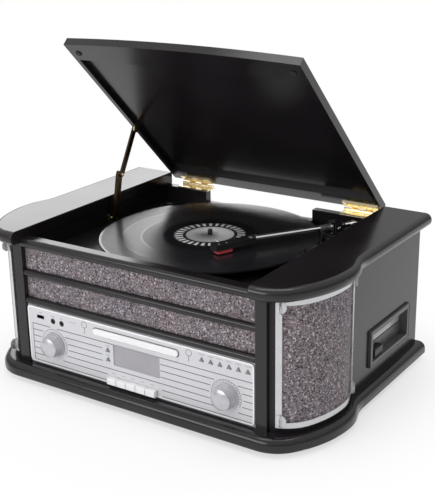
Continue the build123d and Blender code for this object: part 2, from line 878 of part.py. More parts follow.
with BuildPart() as tonearm_gimbal:
    with BuildSketch(arm_plane.offset(arm_base_top + arm_base_gap - arm_height)):
        Circle(gimbal_radius)
    extrude(amount=gimbal_thickness)
    with BuildSketch(arm_plane.offset(arm_base_top + arm_base_gap - arm_height)):
        Circle(gimbal_shaft_radius)
    extrude(amount=-gimbal_shaft_length)
    yoke_rise = arm_height + yoke_over_arm - arm_base_top - arm_base_gap
    for sign in (-1, 1):
        with BuildSketch(arm_plane.offset(arm_base_top + arm_base_gap - arm_height)):
            with Locations((0, sign * yoke_spacing / 2)):
                Rectangle(yoke_width, yoke_thickness,
                          align=(Align.CENTER, Align.MIN if sign > 0 else Align.MAX))
        extrude(amount=yoke_rise)
    trunnion_plane = Plane(
        origin=(*arm_pivot, arm_height), x_dir=arm_x, z_dir=(-arm_x[1], arm_x[0], 0))
    with BuildSketch(trunnion_plane.offset(-gimbal_radius)):
        Circle(trunnion_radius + running_clearance)
    extrude(amount=2 * gimbal_radius, mode=Mode.SUBTRACT)

# Tube with its pivot block and tail, and the trunnions that it lifts on
with BuildPart() as tonearm_tube:
    with BuildSketch(tube_plane.offset(-arm_tail_length)):
        Circle(arm_tube_radius)
    extrude(amount=arm_tail_length + arm_tube_length)
    with BuildSketch(arm_plane.offset(-arm_block_height / 2)):
        Rectangle(arm_block_length, arm_block_width)
    extrude(amount=arm_block_height)
    trunnion_half = yoke_spacing / 2 + yoke_thickness
    with BuildSketch(trunnion_plane.offset(-trunnion_half)):
        Circle(trunnion_radius)
    extrude(amount=2 * trunnion_half)

shell_angle = arm_direction + arm_offset_angle
shell_x = (cos(radians(shell_angle)), sin(radians(shell_angle)), 0)
shell_start = on_circle(arm_pivot, arm_tube_length, arm_direction)
shell_plane = Plane(
    origin=(*shell_start, arm_height + shell_rise), x_dir=shell_x, z_dir=(0, 0, 1))
with BuildPart() as headshell:
    with BuildSketch(shell_plane):
        with Locations((-shell_socket / 2, 0)):
            Rectangle(shell_length, shell_width, align=(Align.MIN, Align.CENTER))
    extrude(amount=-shell_height)
    nose_edges = headshell.edges().filter_by(Axis.Z)
    fillet(nose_edges, shell_corner)
    with BuildSketch(shell_plane.offset(-shell_wall)):
        with Locations((shell_socket, 0)):
            Rectangle(shell_length - shell_socket * 1.5 - shell_wall, shell_width - 2 * shell_wall,
                      align=(Align.MIN, Align.CENTER))
    extrude(amount=-shell_height, mode=Mode.SUBTRACT)
    with BuildSketch(tube_plane.offset(arm_tube_length - shell_socket * 1.5)):
        Circle(arm_tube_radius)
    extrude(amount=shell_socket * 1.5, mode=Mode.SUBTRACT)

cartridge_end = shell_length - shell_socket / 2 - shell_wall - cartridge_from_tip
cartridge_top = arm_height + shell_rise - shell_wall
stylus_tip = record_top + stylus_gap
cartridge_bottom = stylus_tip + stylus_length
with BuildPart() as cartridge:
    with BuildSketch(shell_plane.offset(-shell_wall)):
        with Locations((cartridge_end, 0)):
            Rectangle(cartridge_length, cartridge_width, align=(Align.MAX, Align.CENTER))
    extrude(amount=cartridge_bottom - cartridge_top)
    with BuildSketch(shell_plane.offset(cartridge_bottom - arm_height - shell_rise)):
        with Locations((cartridge_end - cartridge_from_tip, 0)):
            Circle(stylus_radius)
    extrude(amount=stylus_tip - cartridge_bottom)


def deck_switch(x, y):
    """Sliding knob above the deck with its stem through the slot."""
    with BuildPart() as knob:
        with BuildSketch(Plane.XY.offset(deck_top + switch_gap)):
            with Locations((x, y)):
                RectangleRounded(*switch_knob, switch_knob_corner)
        extrude(amount=switch_knob_height)
        with BuildSketch(Plane.XY.offset(deck_top + switch_gap)):
            with Locations((x, y)):
                Rectangle(switch_stem, switch_stem)
        extrude(amount=switch_stem_rise - switch_gap - deck_thickness)
    return knob


speed_switch = deck_switch(*switch_places[0][:2])
auto_stop_switch = deck_switch(*switch_places[1][:2])

# Lid: built in its own plane, whose local y runs from the front rail to the hinge line
lid_plane = Plane(origin=(0, hinge_y, hinge_height), x_dir=(1, 0, 0), z_dir=(0, open_sin, open_cos))
lid_rear = -hinge_back
lid_length = base_depth - lid_front_inset
lid_front = lid_rear - lid_length


def lid_outline():
    """Outline of the lid: square at the hinges, slightly bowed at the front."""
    with BuildSketch() as outline:
        with BuildLine():
            Polyline((-lid_half, lid_front), (-lid_half, lid_rear), (lid_half, lid_rear),
                     (lid_half, lid_front))
            ThreePointArc((lid_half, lid_front), (0, lid_front - lid_bow), (-lid_half, lid_front))
        make_face()
    return outline.sketch


with BuildPart() as lid_panel:
    with BuildSketch(lid_plane.offset(lid_under + lid_frame_height)):
        add(lid_outline())
    extrude(amount=lid_thickness - lid_frame_height)

with BuildPart() as lid_frame:
    with BuildSketch(lid_plane.offset(lid_under)):
        add(lid_outline())
        with Locations((0, lid_front + lid_front_rail)):
            Rectangle(2 * (lid_half - lid_side_rail), lid_length - lid_front_rail - lid_rear_rail,
                      align=(Align.CENTER, Align.MIN), mode=Mode.SUBTRACT)
    extrude(amount=lid_frame_height)

with BuildPart() as lid_bumpers:
    with BuildSketch(lid_plane.offset(lid_under)):
        for sign in (-1, 1):
            with Locations((sign * (lid_half - bumper_from_side), lid_front + bumper_from_front)):
                Circle(bumper_radius)
    extrude(amount=-bumper_height)


# Hinges: five knuckles each, two on the lid, three on the back panel with the pin
def knuckle_places(centre, owner):
    """X of the middle of each knuckle that the lid or the cabinet owns."""
    first = centre - hinge_knuckle * (knuckles - 1) / 2
    start = 1 if owner == "lid" else 0
    return [first + hinge_knuckle * i for i in range(start, knuckles, 2)]


hinge_centres = (hinge_from_left - lid_half, lid_half - hinge_from_right)
hinge_span = hinge_knuckle * knuckles
knuckle_length = hinge_knuckle - knuckle_gap
cabinet_hinge_plane = Plane(
    origin=(0, hinge_y, hinge_height), x_dir=(1, 0, 0), z_dir=(0, 0, 1))


def hinge_half(plane, owner, leaf_low):
    """Knuckles and leaf of one half of each hinge, in the half's own plane."""
    leaf_end = -hinge_back - hinge_leaf_length
    with BuildPart() as half:
        for centre in hinge_centres:
            places = knuckle_places(centre, owner)
            with BuildSketch(plane.offset(leaf_low)):
                with Locations((centre, leaf_end)):
                    Rectangle(hinge_span - knuckle_gap,
                              hinge_leaf_length + hinge_back - hinge_relief,
                              align=(Align.CENTER, Align.MIN))
                with Locations(*[(x, leaf_end) for x in places]):
                    Rectangle(knuckle_length, hinge_leaf_length + hinge_back,
                              align=(Align.CENTER, Align.MIN))
            extrude(amount=hinge_leaf)
            for x in places:
                with BuildSketch(right_plane(x - knuckle_length / 2)):
                    with Locations((hinge_y, hinge_height)):
                        Circle(hinge_radius)
                extrude(amount=knuckle_length)
    return half.part


cabinet_hinges = hinge_half(cabinet_hinge_plane, "cabinet", case_top - hinge_height)
lid_hinges = hinge_half(lid_plane, "lid", lid_under - hinge_leaf)
stay_inner = well_half - stay_stand
stay_wall_point = (back_y - stay_wall_y, case_top - stay_wall_drop)
with BuildPart() as cabinet_fittings:
    add(cabinet_hinges)
    for centre in hinge_centres:
        for x in knuckle_places(centre, "lid"):
            with BuildSketch(right_plane(x - hinge_knuckle / 2 - knuckle_gap)):
                with Locations((hinge_y, hinge_height)):
                    Circle(hinge_pin_radius)
            extrude(amount=hinge_knuckle + 2 * knuckle_gap)
    with BuildSketch(right_plane(-well_half)):
        with Locations(stay_wall_point):
            RectangleRounded(stay_plate_width, stay_plate_width, stay_plate_corner)
    extrude(amount=stay_plate)
    with BuildSketch(right_plane(-well_half)):
        with Locations(stay_wall_point):
            Circle(stay_pin_radius)
    extrude(amount=stay_stand + lower_arm_thickness)

# The stay's lid bracket hangs from the panel inside the recess and holds the upper pin
stay_lid_local = (-stay_lid_u, -stay_lid_drop)
bracket_x = -(stay_inner - lower_arm_thickness - stay_gap - upper_arm_thickness - stay_gap)
with BuildPart() as lid_fittings:
    add(lid_hinges)
    for centre in hinge_centres:
        with BuildSketch(right_plane(centre - hinge_span / 2 - hinge_bore_margin)):
            with Locations((hinge_y, hinge_height)):
                Circle(hinge_pin_radius + running_clearance)
        extrude(amount=hinge_span + 2 * hinge_bore_margin, mode=Mode.SUBTRACT)
    lid_side_plane = Plane(
        origin=(bracket_x, hinge_y, hinge_height), x_dir=(0, open_cos, -open_sin), z_dir=(1, 0, 0))
    bracket_top = lid_under + lid_frame_height
    with BuildSketch(lid_side_plane):
        with Locations((stay_lid_local[0], bracket_top)):
            Rectangle(stay_plate_width, bracket_top - stay_lid_local[1], align=(Align.CENTER, Align.MAX))
        with Locations(stay_lid_local):
            Circle(stay_plate_width / 2)
    extrude(amount=stay_plate)
    with BuildSketch(lid_side_plane):
        with Locations(stay_lid_local):
            Circle(stay_pin_radius)
    extrude(amount=-(upper_arm_thickness + stay_gap))

# The two arms meet at the knee, in front of the line between their outer pins
stay_lid_point = (
    hinge_y + stay_lid_local[0] * open_cos + stay_lid_local[1] * open_sin,
    hinge_height - stay_lid_local[0] * open_sin + stay_lid_local[1] * open_cos)
stay_span = sqrt(
    (stay_lid_point[0] - stay_wall_point[0]) ** 2 + (stay_lid_point[1] - stay_wall_point[1]) ** 2)
lower_arm_length = (stay_span + stay_slack - stay_difference) / 2
upper_arm_length = lower_arm_length + stay_difference
stay_slope = degrees(atan2(
    stay_lid_point[1] - stay_wall_point[1], stay_lid_point[0] - stay_wall_point[0]))
knee_turn = degrees(acos(
    (stay_span ** 2 + lower_arm_length ** 2 - upper_arm_length ** 2)
    / (2 * stay_span * lower_arm_length)))
knee = on_circle(stay_wall_point, lower_arm_length, stay_slope + knee_turn)


def stay_arm(x, start, end, width, thickness, eye):
    """Flat arm of the stay with the bore of its outer pin at eye."""
    middle = ((start[0] + end[0]) / 2, (start[1] + end[1]) / 2)
    slope = degrees(atan2(end[1] - start[1], end[0] - start[0]))
    length = sqrt((end[0] - start[0]) ** 2 + (end[1] - start[1]) ** 2)
    with BuildPart() as arm:
        with BuildSketch(right_plane(x)):
            with Locations(Location((*middle, 0), (0, 0, slope))):
                SlotCenterToCenter(length, width)
            with Locations(eye):
                Circle(stay_pin_radius + running_clearance, mode=Mode.SUBTRACT)
        extrude(amount=thickness)
    return arm


stay_lower_arm = stay_arm(
    -stay_inner, stay_wall_point, knee, lower_arm_width, lower_arm_thickness, stay_wall_point)
upper_arm_x = -(stay_inner - lower_arm_thickness - stay_gap)
stay_upper_arm = stay_arm(
    upper_arm_x, knee, stay_lid_point, upper_arm_width, upper_arm_thickness, stay_lid_point)

# Control panel: a plate with a hidden flange that reaches the pillars, plinth and bead
key_span = key_pitch * (key_count - 1)
keys_mid_x = key_first_x + key_span / 2
key_centre_height = panel_bottom + key_rise
panel_mid_z = panel_bottom + panel_height / 2
track_places = [
    (panel_half - track_buttons_from_right + i * track_button_pitch,
     panel_bottom + track_button_rise) for i in range(track_buttons)]
side_places = [
    (display_left - side_button_gap, panel_bottom + rise) for rise in side_button_rises]
button_places = track_places + side_places
display_mid = (
    display_left + display_width / 2, panel_bottom + display_rise + display_height / 2)
knob_centres = (
    (volume_from_left - panel_half, panel_bottom + volume_rise),
    (panel_half - tuning_from_right, panel_bottom + tuning_rise))
tray_centre = (tray_x, panel_bottom + tray_rise)
usb_centre = (usb_from_left - panel_half, panel_bottom + usb_rise)
jack_centres = [
    (offset - panel_half, panel_bottom + rise)
    for offset, rise in zip(jacks_from_left, jack_rises)]
with BuildPart() as control_panel:
    with BuildSketch(front_plane(panel_y + panel_thickness)):
        with Locations((0, panel_mid_z)):
            RectangleRounded(2 * panel_half, panel_height, panel_corner)
    extrude(amount=panel_thickness)
    with BuildSketch(front_plane(panel_y + panel_thickness)):
        with Locations((0, case_z)):
            Rectangle(2 * well_half, baffle_z - case_z, align=(Align.CENTER, Align.MIN))
    extrude(amount=-panel_flange)
    with BuildSketch(front_plane(panel_y)):
        with Locations(*button_places):
            RegularPolygon(track_button_radius + 2 * button_clearance, 3, rotation=90)
        with Locations(display_mid):
            Rectangle(display_width, display_height)
        with Locations(*knob_centres):
            Circle(knob_shaft_radius + running_clearance)
        with Locations((keys_mid_x, key_centre_height)):
            Rectangle(key_span + key_width + 2 * key_clearance, key_height + 2 * key_clearance)
        with Locations(tray_centre):
            SlotOverall(tray_length + 2 * tray_clearance, tray_height + 2 * tray_clearance)
        with Locations(usb_centre):
            Rectangle(*usb_size)
        with Locations(*jack_centres):
            Circle(jack_radius)
    extrude(amount=-(panel_thickness + panel_flange), mode=Mode.SUBTRACT)

with BuildPart() as display_window:
    with BuildSketch(front_plane(panel_y + display_recess)):
        with Locations(display_mid):
            Rectangle(display_width, display_height)
    extrude(amount=-display_depth)

# USB port and the two jack sockets, open to the front
with BuildPart() as port_sockets:
    with BuildSketch(front_plane(panel_y)):
        with Locations(usb_centre):
            Rectangle(*usb_size)
        with Locations(*jack_centres):
            Circle(jack_radius)
    extrude(amount=-socket_depth)
    with BuildSketch(front_plane(panel_y)):
        with Locations(usb_centre):
            Rectangle(usb_size[0] - 2 * usb_wall[0], usb_size[1] - 2 * usb_wall[1])
        with Locations(*jack_centres):
            Circle(jack_bore_radius)
    extrude(amount=socket_floor - socket_depth, mode=Mode.SUBTRACT)


def knob(centre):
    """Tapered knob with a flat skirt, a fluted base, a domed face and a shaft."""
    face = panel_y - knob_gap
    front = face - knob_length
    dome = (knob_cap_radius ** 2 + knob_dome ** 2) / (2 * knob_dome)
    half_turn = asin(knob_cap_radius / dome) / 2
    with BuildPart() as turned:
        with BuildSketch(Plane(origin=(centre[0], 0, centre[1]), z_dir=(0, 0, 1))):
            with BuildLine():
                Polyline(
                    (0, front), (0, face), (knob_skirt_radius, face),
                    (knob_skirt_radius, face - knob_skirt), (knob_radius, face - knob_skirt),
                    (knob_cap_radius, front + knob_dome))
                ThreePointArc(
                    (knob_cap_radius, front + knob_dome),
                    (dome * sin(half_turn), front + dome * (1 - cos(half_turn))),
                    (0, front))
            make_face()
        revolve(axis=Axis((centre[0], 0, centre[1]), (0, 1, 0)))
        with BuildSketch(front_plane(face - knob_skirt)):
            with Locations(centre):
                with PolarLocations(knob_radius, knob_flutes):
                    Circle(knob_flute_radius)
        extrude(amount=knob_flute_length, mode=Mode.SUBTRACT)
        with BuildSketch(front_plane(face)):
            with Locations(centre):
                Circle(knob_shaft_radius)
        extrude(amount=-(knob_gap + panel_thickness + panel_flange + knob_shaft_end))
    return turned


volume_knob = knob(knob_centres[0])
tuning_knob = knob(knob_centres[1])


def push_button(place):
    """Three-sided button through the panel."""
    with BuildPart() as button:
        with BuildSketch(front_plane(panel_y - button_proud)):
            with Locations(place):
                RegularPolygon(track_button_radius, 3, rotation=90)
        extrude(amount=-(button_proud + button_length))
    return button


def key(x):
    """Square key that stands out under the display."""
    with BuildPart() as cap:
        with BuildSketch(front_plane(panel_y - key_proud)):
            with Locations((x, key_centre_height)):
                Rectangle(key_width, key_height)
        extrude(amount=-(key_proud + button_length))
        fillet(cap.edges().group_by(Axis.Y)[0], key_edge)
    return cap


# CD tray: a plate with a disc recess behind a long rounded bar
with BuildPart() as cd_tray:
    with BuildSketch(front_plane(panel_y - tray_proud)):
        with Locations(tray_centre):
            SlotOverall(tray_length, tray_height)
    extrude(amount=-tray_bar)
    tray_z = tray_centre[1] - tray_plate_thickness / 2
    tray_start = panel_y - tray_proud + tray_bar
    with BuildSketch(Plane.XY.offset(tray_z)):
        with Locations((tray_centre[0], tray_start)):
            Rectangle(tray_plate_width, tray_plate_length, align=(Align.CENTER, Align.MIN))
    extrude(amount=tray_plate_thickness)
    with BuildSketch(Plane.XY.offset(tray_z + tray_plate_thickness)):
        with Locations((tray_centre[0], tray_start + disc_centre_from_end)):
            Circle(disc_recess_radius)
    extrude(amount=-disc_recess_depth, mode=Mode.SUBTRACT)
    with BuildSketch(Plane.XY.offset(tray_z + tray_plate_thickness)):
        with Locations((tray_centre[0], tray_start + disc_centre_from_end)):
            SlotOverall(*tray_slot, rotation=90)
    extrude(amount=-tray_plate_thickness, mode=Mode.SUBTRACT)

# Cassette bezel: a frame on the side, a sleeve into the case and a faceplate at its bottom
bezel_face = case_half + bezel_proud
bezel_inner = case_half - bezel_depth
slot_top = cassette_bottom + cassette_height - slot_from_top
slot_mid_z = slot_top - slot_height / 2
eject_mid = (
    front_y + cassette_from_front + eject_from_front + eject_span / 2 + bezel_band,
    cassette_bottom + bezel_band + eject_height / 2 + eject_rise)
door_x = case_half - door_recess
with BuildPart() as cassette_bezel:
    with BuildSketch(right_plane(case_half)):
        with Locations((cassette_mid_y, cassette_mid_z)):
            RectangleRounded(cassette_span, cassette_height, bezel_corner)
    extrude(amount=bezel_proud)
    with BuildSketch(right_plane(bezel_inner)):
        with Locations((cassette_mid_y, cassette_mid_z)):
            Rectangle(*bezel_hole)
    extrude(amount=bezel_depth)
    with BuildSketch(right_plane(door_x)):
        with Locations((cassette_mid_y, cassette_mid_z)):
            Rectangle(cassette_span - 2 * bezel_band, cassette_height - 2 * bezel_band)
    extrude(amount=door_recess + bezel_proud, mode=Mode.SUBTRACT)
    with BuildSketch(right_plane(bezel_inner)):
        with Locations((cassette_mid_y, slot_mid_z)):
            Rectangle(slot_span + 2 * door_gap, slot_height + 2 * door_gap)
        with Locations(eject_mid):
            Rectangle(eject_span + 2 * eject_clearance, eject_height + 2 * eject_clearance)
    extrude(amount=bezel_depth, mode=Mode.SUBTRACT)
    pin_z = slot_top - door_barrel_radius
    pin_x = door_x - door_barrel_radius
    for end in (-1, 1):
        pin_start = cassette_mid_y + end * (slot_span / 2 + door_gap)
        with BuildSketch(Plane(origin=(pin_x, pin_start, pin_z), z_dir=(0, -end, 0))):
            Circle(door_pin_radius)
        extrude(amount=door_pin_length)

# Dust door of the slot: it swings inwards on two short pins at its top edge
with BuildPart() as cassette_door:
    with BuildSketch(right_plane(pin_x - door_thickness / 2)):
        with Locations((cassette_mid_y, slot_top)):
            Rectangle(slot_span, slot_height, align=(Align.CENTER, Align.MAX))
        with Locations((cassette_mid_y, slot_top)):
            Rectangle(slot_span, door_barrel_radius, align=(Align.CENTER, Align.MAX), mode=Mode.SUBTRACT)
    extrude(amount=door_thickness)
    with BuildSketch(Plane(origin=(pin_x, cassette_mid_y, pin_z), z_dir=(0, -1, 0))):
        Circle(door_barrel_radius)
    extrude(amount=slot_span / 2, both=True)
    with BuildSketch(Plane(origin=(pin_x, cassette_mid_y, pin_z), z_dir=(0, -1, 0))):
        Circle(door_pin_radius + running_clearance)
    extrude(amount=slot_span / 2, both=True, mode=Mode.SUBTRACT)

with BuildPart() as eject_button:
    with BuildSketch(right_plane(case_half + eject_proud - eject_length)):
        with Locations(eject_mid):
            Rectangle(eject_span, eject_height)
    extrude(amount=eject_length)
    fillet(eject_button.edges().group_by(Axis.X)[-1], eject_edge)

# CD and tape mechanisms: open boxes that the tray and the cassette go into
cd_front = panel_y + panel_thickness + panel_flange
cd_mid_z = tray_centre[1] - cd_box_drop
tape_depth = bezel_inner - tape_box_width
with BuildPart() as player_mechanisms:
    with BuildSketch(front_plane(cd_front)):
        with Locations((tray_centre[0], cd_mid_z)):
            Rectangle(cd_box_width, cd_box_height)
    extrude(amount=-cd_box_depth)
    with BuildSketch(front_plane(cd_front)):
        with Locations((tray_centre[0], tray_centre[1])):
            Rectangle(tray_length + 2 * tray_room, disc_space_height)
    extrude(amount=-(cd_box_depth - mechanism_wall), mode=Mode.SUBTRACT)
    with BuildSketch(front_plane(cd_front)):
        with Locations(display_mid):
            Rectangle(display_width + 2 * display_room, display_height + 2 * display_room)
    extrude(amount=-display_depth, mode=Mode.SUBTRACT)
    with BuildSketch(right_plane(tape_depth)):
        with Locations((cassette_mid_y, slot_mid_z - tape_box_drop)):
            Rectangle(slot_span + 2 * tape_box_margin, tape_box_height)
    extrude(amount=tape_box_width)
    with BuildSketch(right_plane(tape_depth + mechanism_wall)):
        with Locations((cassette_mid_y, slot_mid_z)):
            Rectangle(slot_span + 2 * cassette_room, slot_height + 2 * cassette_room)
    extrude(amount=tape_box_width, mode=Mode.SUBTRACT)

# Circuit board on four posts and the transformer, both on the plinth
board_y = back_panel_front - board_back_gap - board_size[1] / 2
transformer_x = transformer_side_gap + transformer_size[0] / 2 - inner_half
board_x = transformer_x + transformer_size[0] / 2 + board_side_gap + board_size[0] / 2
with BuildPart() as circuit_board:
    with BuildSketch(Plane.XY.offset(case_z + board_stand)):
        with Locations((board_x, board_y)):
            Rectangle(*board_size)
    extrude(amount=board_thickness)
    with BuildSketch(Plane.XY.offset(case_z)):
        with Locations((board_x, board_y)):
            with GridLocations(
                    board_size[0] - 2 * board_post_inset, board_size[1] - 2 * board_post_inset, 2, 2):
                Circle(board_post_radius)
    extrude(amount=board_stand)
    with BuildSketch(Plane.XY.offset(case_z + board_stand + board_thickness)):
        with Locations((board_x, board_y)):
            with GridLocations(*chip_pitch, 3, 2):
                Rectangle(*chip_size)
    extrude(amount=chip_height)
    with BuildSketch(Plane.XY.offset(case_z)):
        with Locations((transformer_x, board_y)):
            Rectangle(*transformer_size[:2])
    extrude(amount=transformer_size[2])

# Plate with two phono sockets and the mains inlet, over the hole in the back panel
with BuildPart() as rear_connector_plate:
    with BuildSketch(front_plane(back_panel_rear)):
        with Locations((rear_plate_x, rear_plate_height)):
            RectangleRounded(*rear_plate_size, rear_plate_corner)
    extrude(amount=-rear_plate_thickness)
    inlet_place = (rear_plate_x + socket_offset, rear_plate_height)
    with BuildSketch(front_plane(back_panel_rear + rear_plate_thickness)):
        with Locations(inlet_place):
            RectangleRounded(
                inlet_size[0] + 2 * inlet_wall, inlet_size[1] + 2 * inlet_wall, inlet_corner)
    extrude(amount=inlet_depth)
    with BuildSketch(front_plane(back_panel_rear + rear_plate_thickness)):
        with Locations(inlet_place):
            RectangleRounded(*inlet_size, inlet_corner)
    extrude(amount=inlet_depth - inlet_floor, mode=Mode.SUBTRACT)
    phono_places = [
        (rear_plate_x - socket_offset, rear_plate_height + sign * phono_pitch / 2)
        for sign in (-1, 1)]
    with BuildSketch(front_plane(back_panel_rear + rear_plate_thickness)):
        with Locations(*phono_places):
            Circle(phono_radius)
    extrude(amount=-phono_length)
    with BuildSketch(front_plane(back_panel_rear + rear_plate_thickness + phono_length)):
        with Locations(*phono_places):
            Circle(phono_radius - phono_wall)
    extrude(amount=phono_length, mode=Mode.SUBTRACT)

pieces = {
    "base_plinth": base_plinth,
    "rubber_feet": rubber_feet,
    "side_panels": side_panels,
    "back_panel": back_panel,
    "top_wings": top_wings,
    "well_walls": well_walls,
    "front_pillars": front_pillars,
    "front_baffle": front_baffle,
    "front_mouldings": front_mouldings,
    "grille_cloth": grille_cloth,
    "corner_housings": corner_housings,
    "speaker_frames": speaker_frames,
    "frame_screws": frame_screws,
    "speaker_drivers": speaker_drivers,
    "motor_board": motor_board,
    "spindle_bearing": spindle_bearing,
    "turntable_motor": turntable_motor,
    "drive_belt": drive_belt,
    "tonearm_base": tonearm_base,
    "control_panel": control_panel,
    "display_window": display_window,
    "port_sockets": port_sockets,
    "cassette_bezel": cassette_bezel,
    "player_mechanisms": player_mechanisms,
    "circuit_board": circuit_board,
    "rear_connector_plate": rear_connector_plate,
    "cabinet_fittings": cabinet_fittings,
    "platter": platter,
    "record": record,
    "motor_pulley": motor_pulley,
    "speed_switch": speed_switch,
    "auto_stop_switch": auto_stop_switch,
    "tonearm_gimbal": tonearm_gimbal,
    "tonearm_tube": tonearm_tube,
    "headshell": headshell,
    "cartridge": cartridge,
    "lid_panel": lid_panel,
    "lid_frame": lid_frame,
    "lid_bumpers": lid_bumpers,
    "lid_fittings": lid_fittings,
    "stay_lower_arm": stay_lower_arm,
    "stay_upper_arm": stay_upper_arm,
    "volume_knob": volume_knob,
    "tuning_knob": tuning_knob,
    "cd_tray": cd_tray,
    "cassette_door": cassette_door,
    "eject_button": eject_button,
}
for number, place in enumerate(track_places, 1):
    pieces[f"track_button_{number}"] = push_button(place)
for number, place in enumerate(side_places, 1):
    pieces[f"side_button_{number}"] = push_button(place)
for number in range(1, key_count + 1):
    pieces[f"key_{number}"] = key(key_first_x + (number - 1) * key_pitch)

os.makedirs("parts", exist_ok=True)
for name, piece in pieces.items():
    piece.part.label = name
    export_step(piece.part, f"parts/{name}.step")
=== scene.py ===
import json
from math import cos, pi, radians, sin, sqrt

import bmesh
import bpy
from mathutils import Matrix, Vector


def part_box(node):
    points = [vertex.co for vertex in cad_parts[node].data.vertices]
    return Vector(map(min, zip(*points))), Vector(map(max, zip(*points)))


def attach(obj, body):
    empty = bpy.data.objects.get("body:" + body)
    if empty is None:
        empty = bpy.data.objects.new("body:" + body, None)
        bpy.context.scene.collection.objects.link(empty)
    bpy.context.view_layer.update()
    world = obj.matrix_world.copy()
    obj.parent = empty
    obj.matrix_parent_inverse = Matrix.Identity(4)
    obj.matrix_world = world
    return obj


# Record player with radio, CD tray and cassette slot. Metres, in the frame of the solids:
# X to the right, Y to the back, Z up, with the origin on the table under the middle.
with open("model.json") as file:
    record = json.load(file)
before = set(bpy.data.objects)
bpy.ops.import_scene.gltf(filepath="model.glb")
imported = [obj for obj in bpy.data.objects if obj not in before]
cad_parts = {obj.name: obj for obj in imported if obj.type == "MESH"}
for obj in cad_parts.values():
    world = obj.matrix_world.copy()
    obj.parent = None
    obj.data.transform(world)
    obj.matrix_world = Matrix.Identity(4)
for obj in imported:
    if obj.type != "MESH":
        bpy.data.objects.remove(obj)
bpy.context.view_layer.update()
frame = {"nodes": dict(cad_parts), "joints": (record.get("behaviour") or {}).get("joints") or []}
nodes = frame["nodes"]
joints = {joint["name"]: joint for joint in frame["joints"]}
MM = 0.001

# Places read from the frame
panel_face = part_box("control_panel")[0].y
record_low, record_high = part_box("record")
record_centre = (record_low + record_high) / 2
record_top = record_high.z
arm_pivot = Vector(joints["tonearm_lift"]["pos_m"])
lift_axis = Vector(joints["tonearm_lift"]["axis"])
arm_direction = Vector((0, 0, 1)).cross(lift_axis)
deck_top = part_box("motor_board")[1].z


def new_material(name):
    """Empty node material and its Principled shader."""
    made = bpy.data.materials.new(name)
    made.use_nodes = True
    return made, made.node_tree.nodes["Principled BSDF"]


def node(made, kind, **values):
    """Node of a material with its properties or inputs set by name."""
    new = made.node_tree.nodes.new(kind)
    for key, value in values.items():
        if key in new.inputs:
            new.inputs[key].default_value = value
        else:
            setattr(new, key, value)
    return new


def link(made, source, target):
    made.node_tree.links.new(source, target)


def place_output(made):
    """Coordinates of the surface in the frame of the part, in metres."""
    return node(made, "ShaderNodeTexCoord").outputs["Object"]


def noise(made, scale, detail=4.0, where=None):
    """Grey noise at a scale in waves per metre."""
    new = node(made, "ShaderNodeTexNoise", Scale=scale, Detail=detail)
    link(made, where or place_output(made), new.inputs["Vector"])
    return new.outputs["Fac"]


def ramp(made, source, *stops):
    """Colour ramp from (position, colour) stops."""
    new = node(made, "ShaderNodeValToRGB")
    elements = new.color_ramp.elements
    while len(elements) < len(stops):
        elements.new(0.5)
    for element, (position, colour) in zip(elements, stops):
        element.position = position
        element.color = (*colour, 1.0)
    link(made, source, new.inputs["Fac"])
    return new.outputs["Color"]


def spread(made, source, low, high):
    """Maps a 0 to 1 value to low to high."""
    new = node(made, "ShaderNodeMapRange")
    new.inputs["To Min"].default_value = low
    new.inputs["To Max"].default_value = high
    link(made, source, new.inputs["Value"])
    return new.outputs["Result"]


def bump(made, shader, source, strength, distance):
    """Bump of a material from a height value; distance is in metres."""
    new = node(made, "ShaderNodeBump", Strength=strength, Distance=distance)
    link(made, source, new.inputs["Height"])
    link(made, new.outputs["Normal"], shader.inputs["Normal"])


def finish(name, colour, rough, metallic=0.0, coat=0.0, coat_rough=0.05, vary=0.12, scale=40.0,
           grain=900.0, grain_depth=0.00003, specular=0.5):
    """General finish: colour and roughness that drift a little, with a fine surface grain."""
    made, shader = new_material(name)
    shader.inputs["Metallic"].default_value = metallic
    shader.inputs["Coat Weight"].default_value = coat
    shader.inputs["Coat Roughness"].default_value = coat_rough
    shader.inputs["Specular IOR Level"].default_value = specular
    drift = noise(made, scale)
    dark = [c * (1 - vary) for c in colour]
    light = [min(1.0, c * (1 + vary)) for c in colour]
    link(made, ramp(made, drift, (0.3, dark), (0.7, light)), shader.inputs["Base Color"])
    link(made, spread(made, drift, rough * 0.8, rough * 1.2), shader.inputs["Roughness"])
    bump(made, shader, noise(made, grain, 2.0), 0.3, grain_depth)
    return made


def lacquer_finish():
    """Black piano lacquer with a very slight orange peel."""
    return finish("black_lacquer", (0.0125, 0.0105, 0.0120), 0.20, vary=0.25, scale=9.0,
                  grain=70.0, grain_depth=0.00004, specular=0.45)


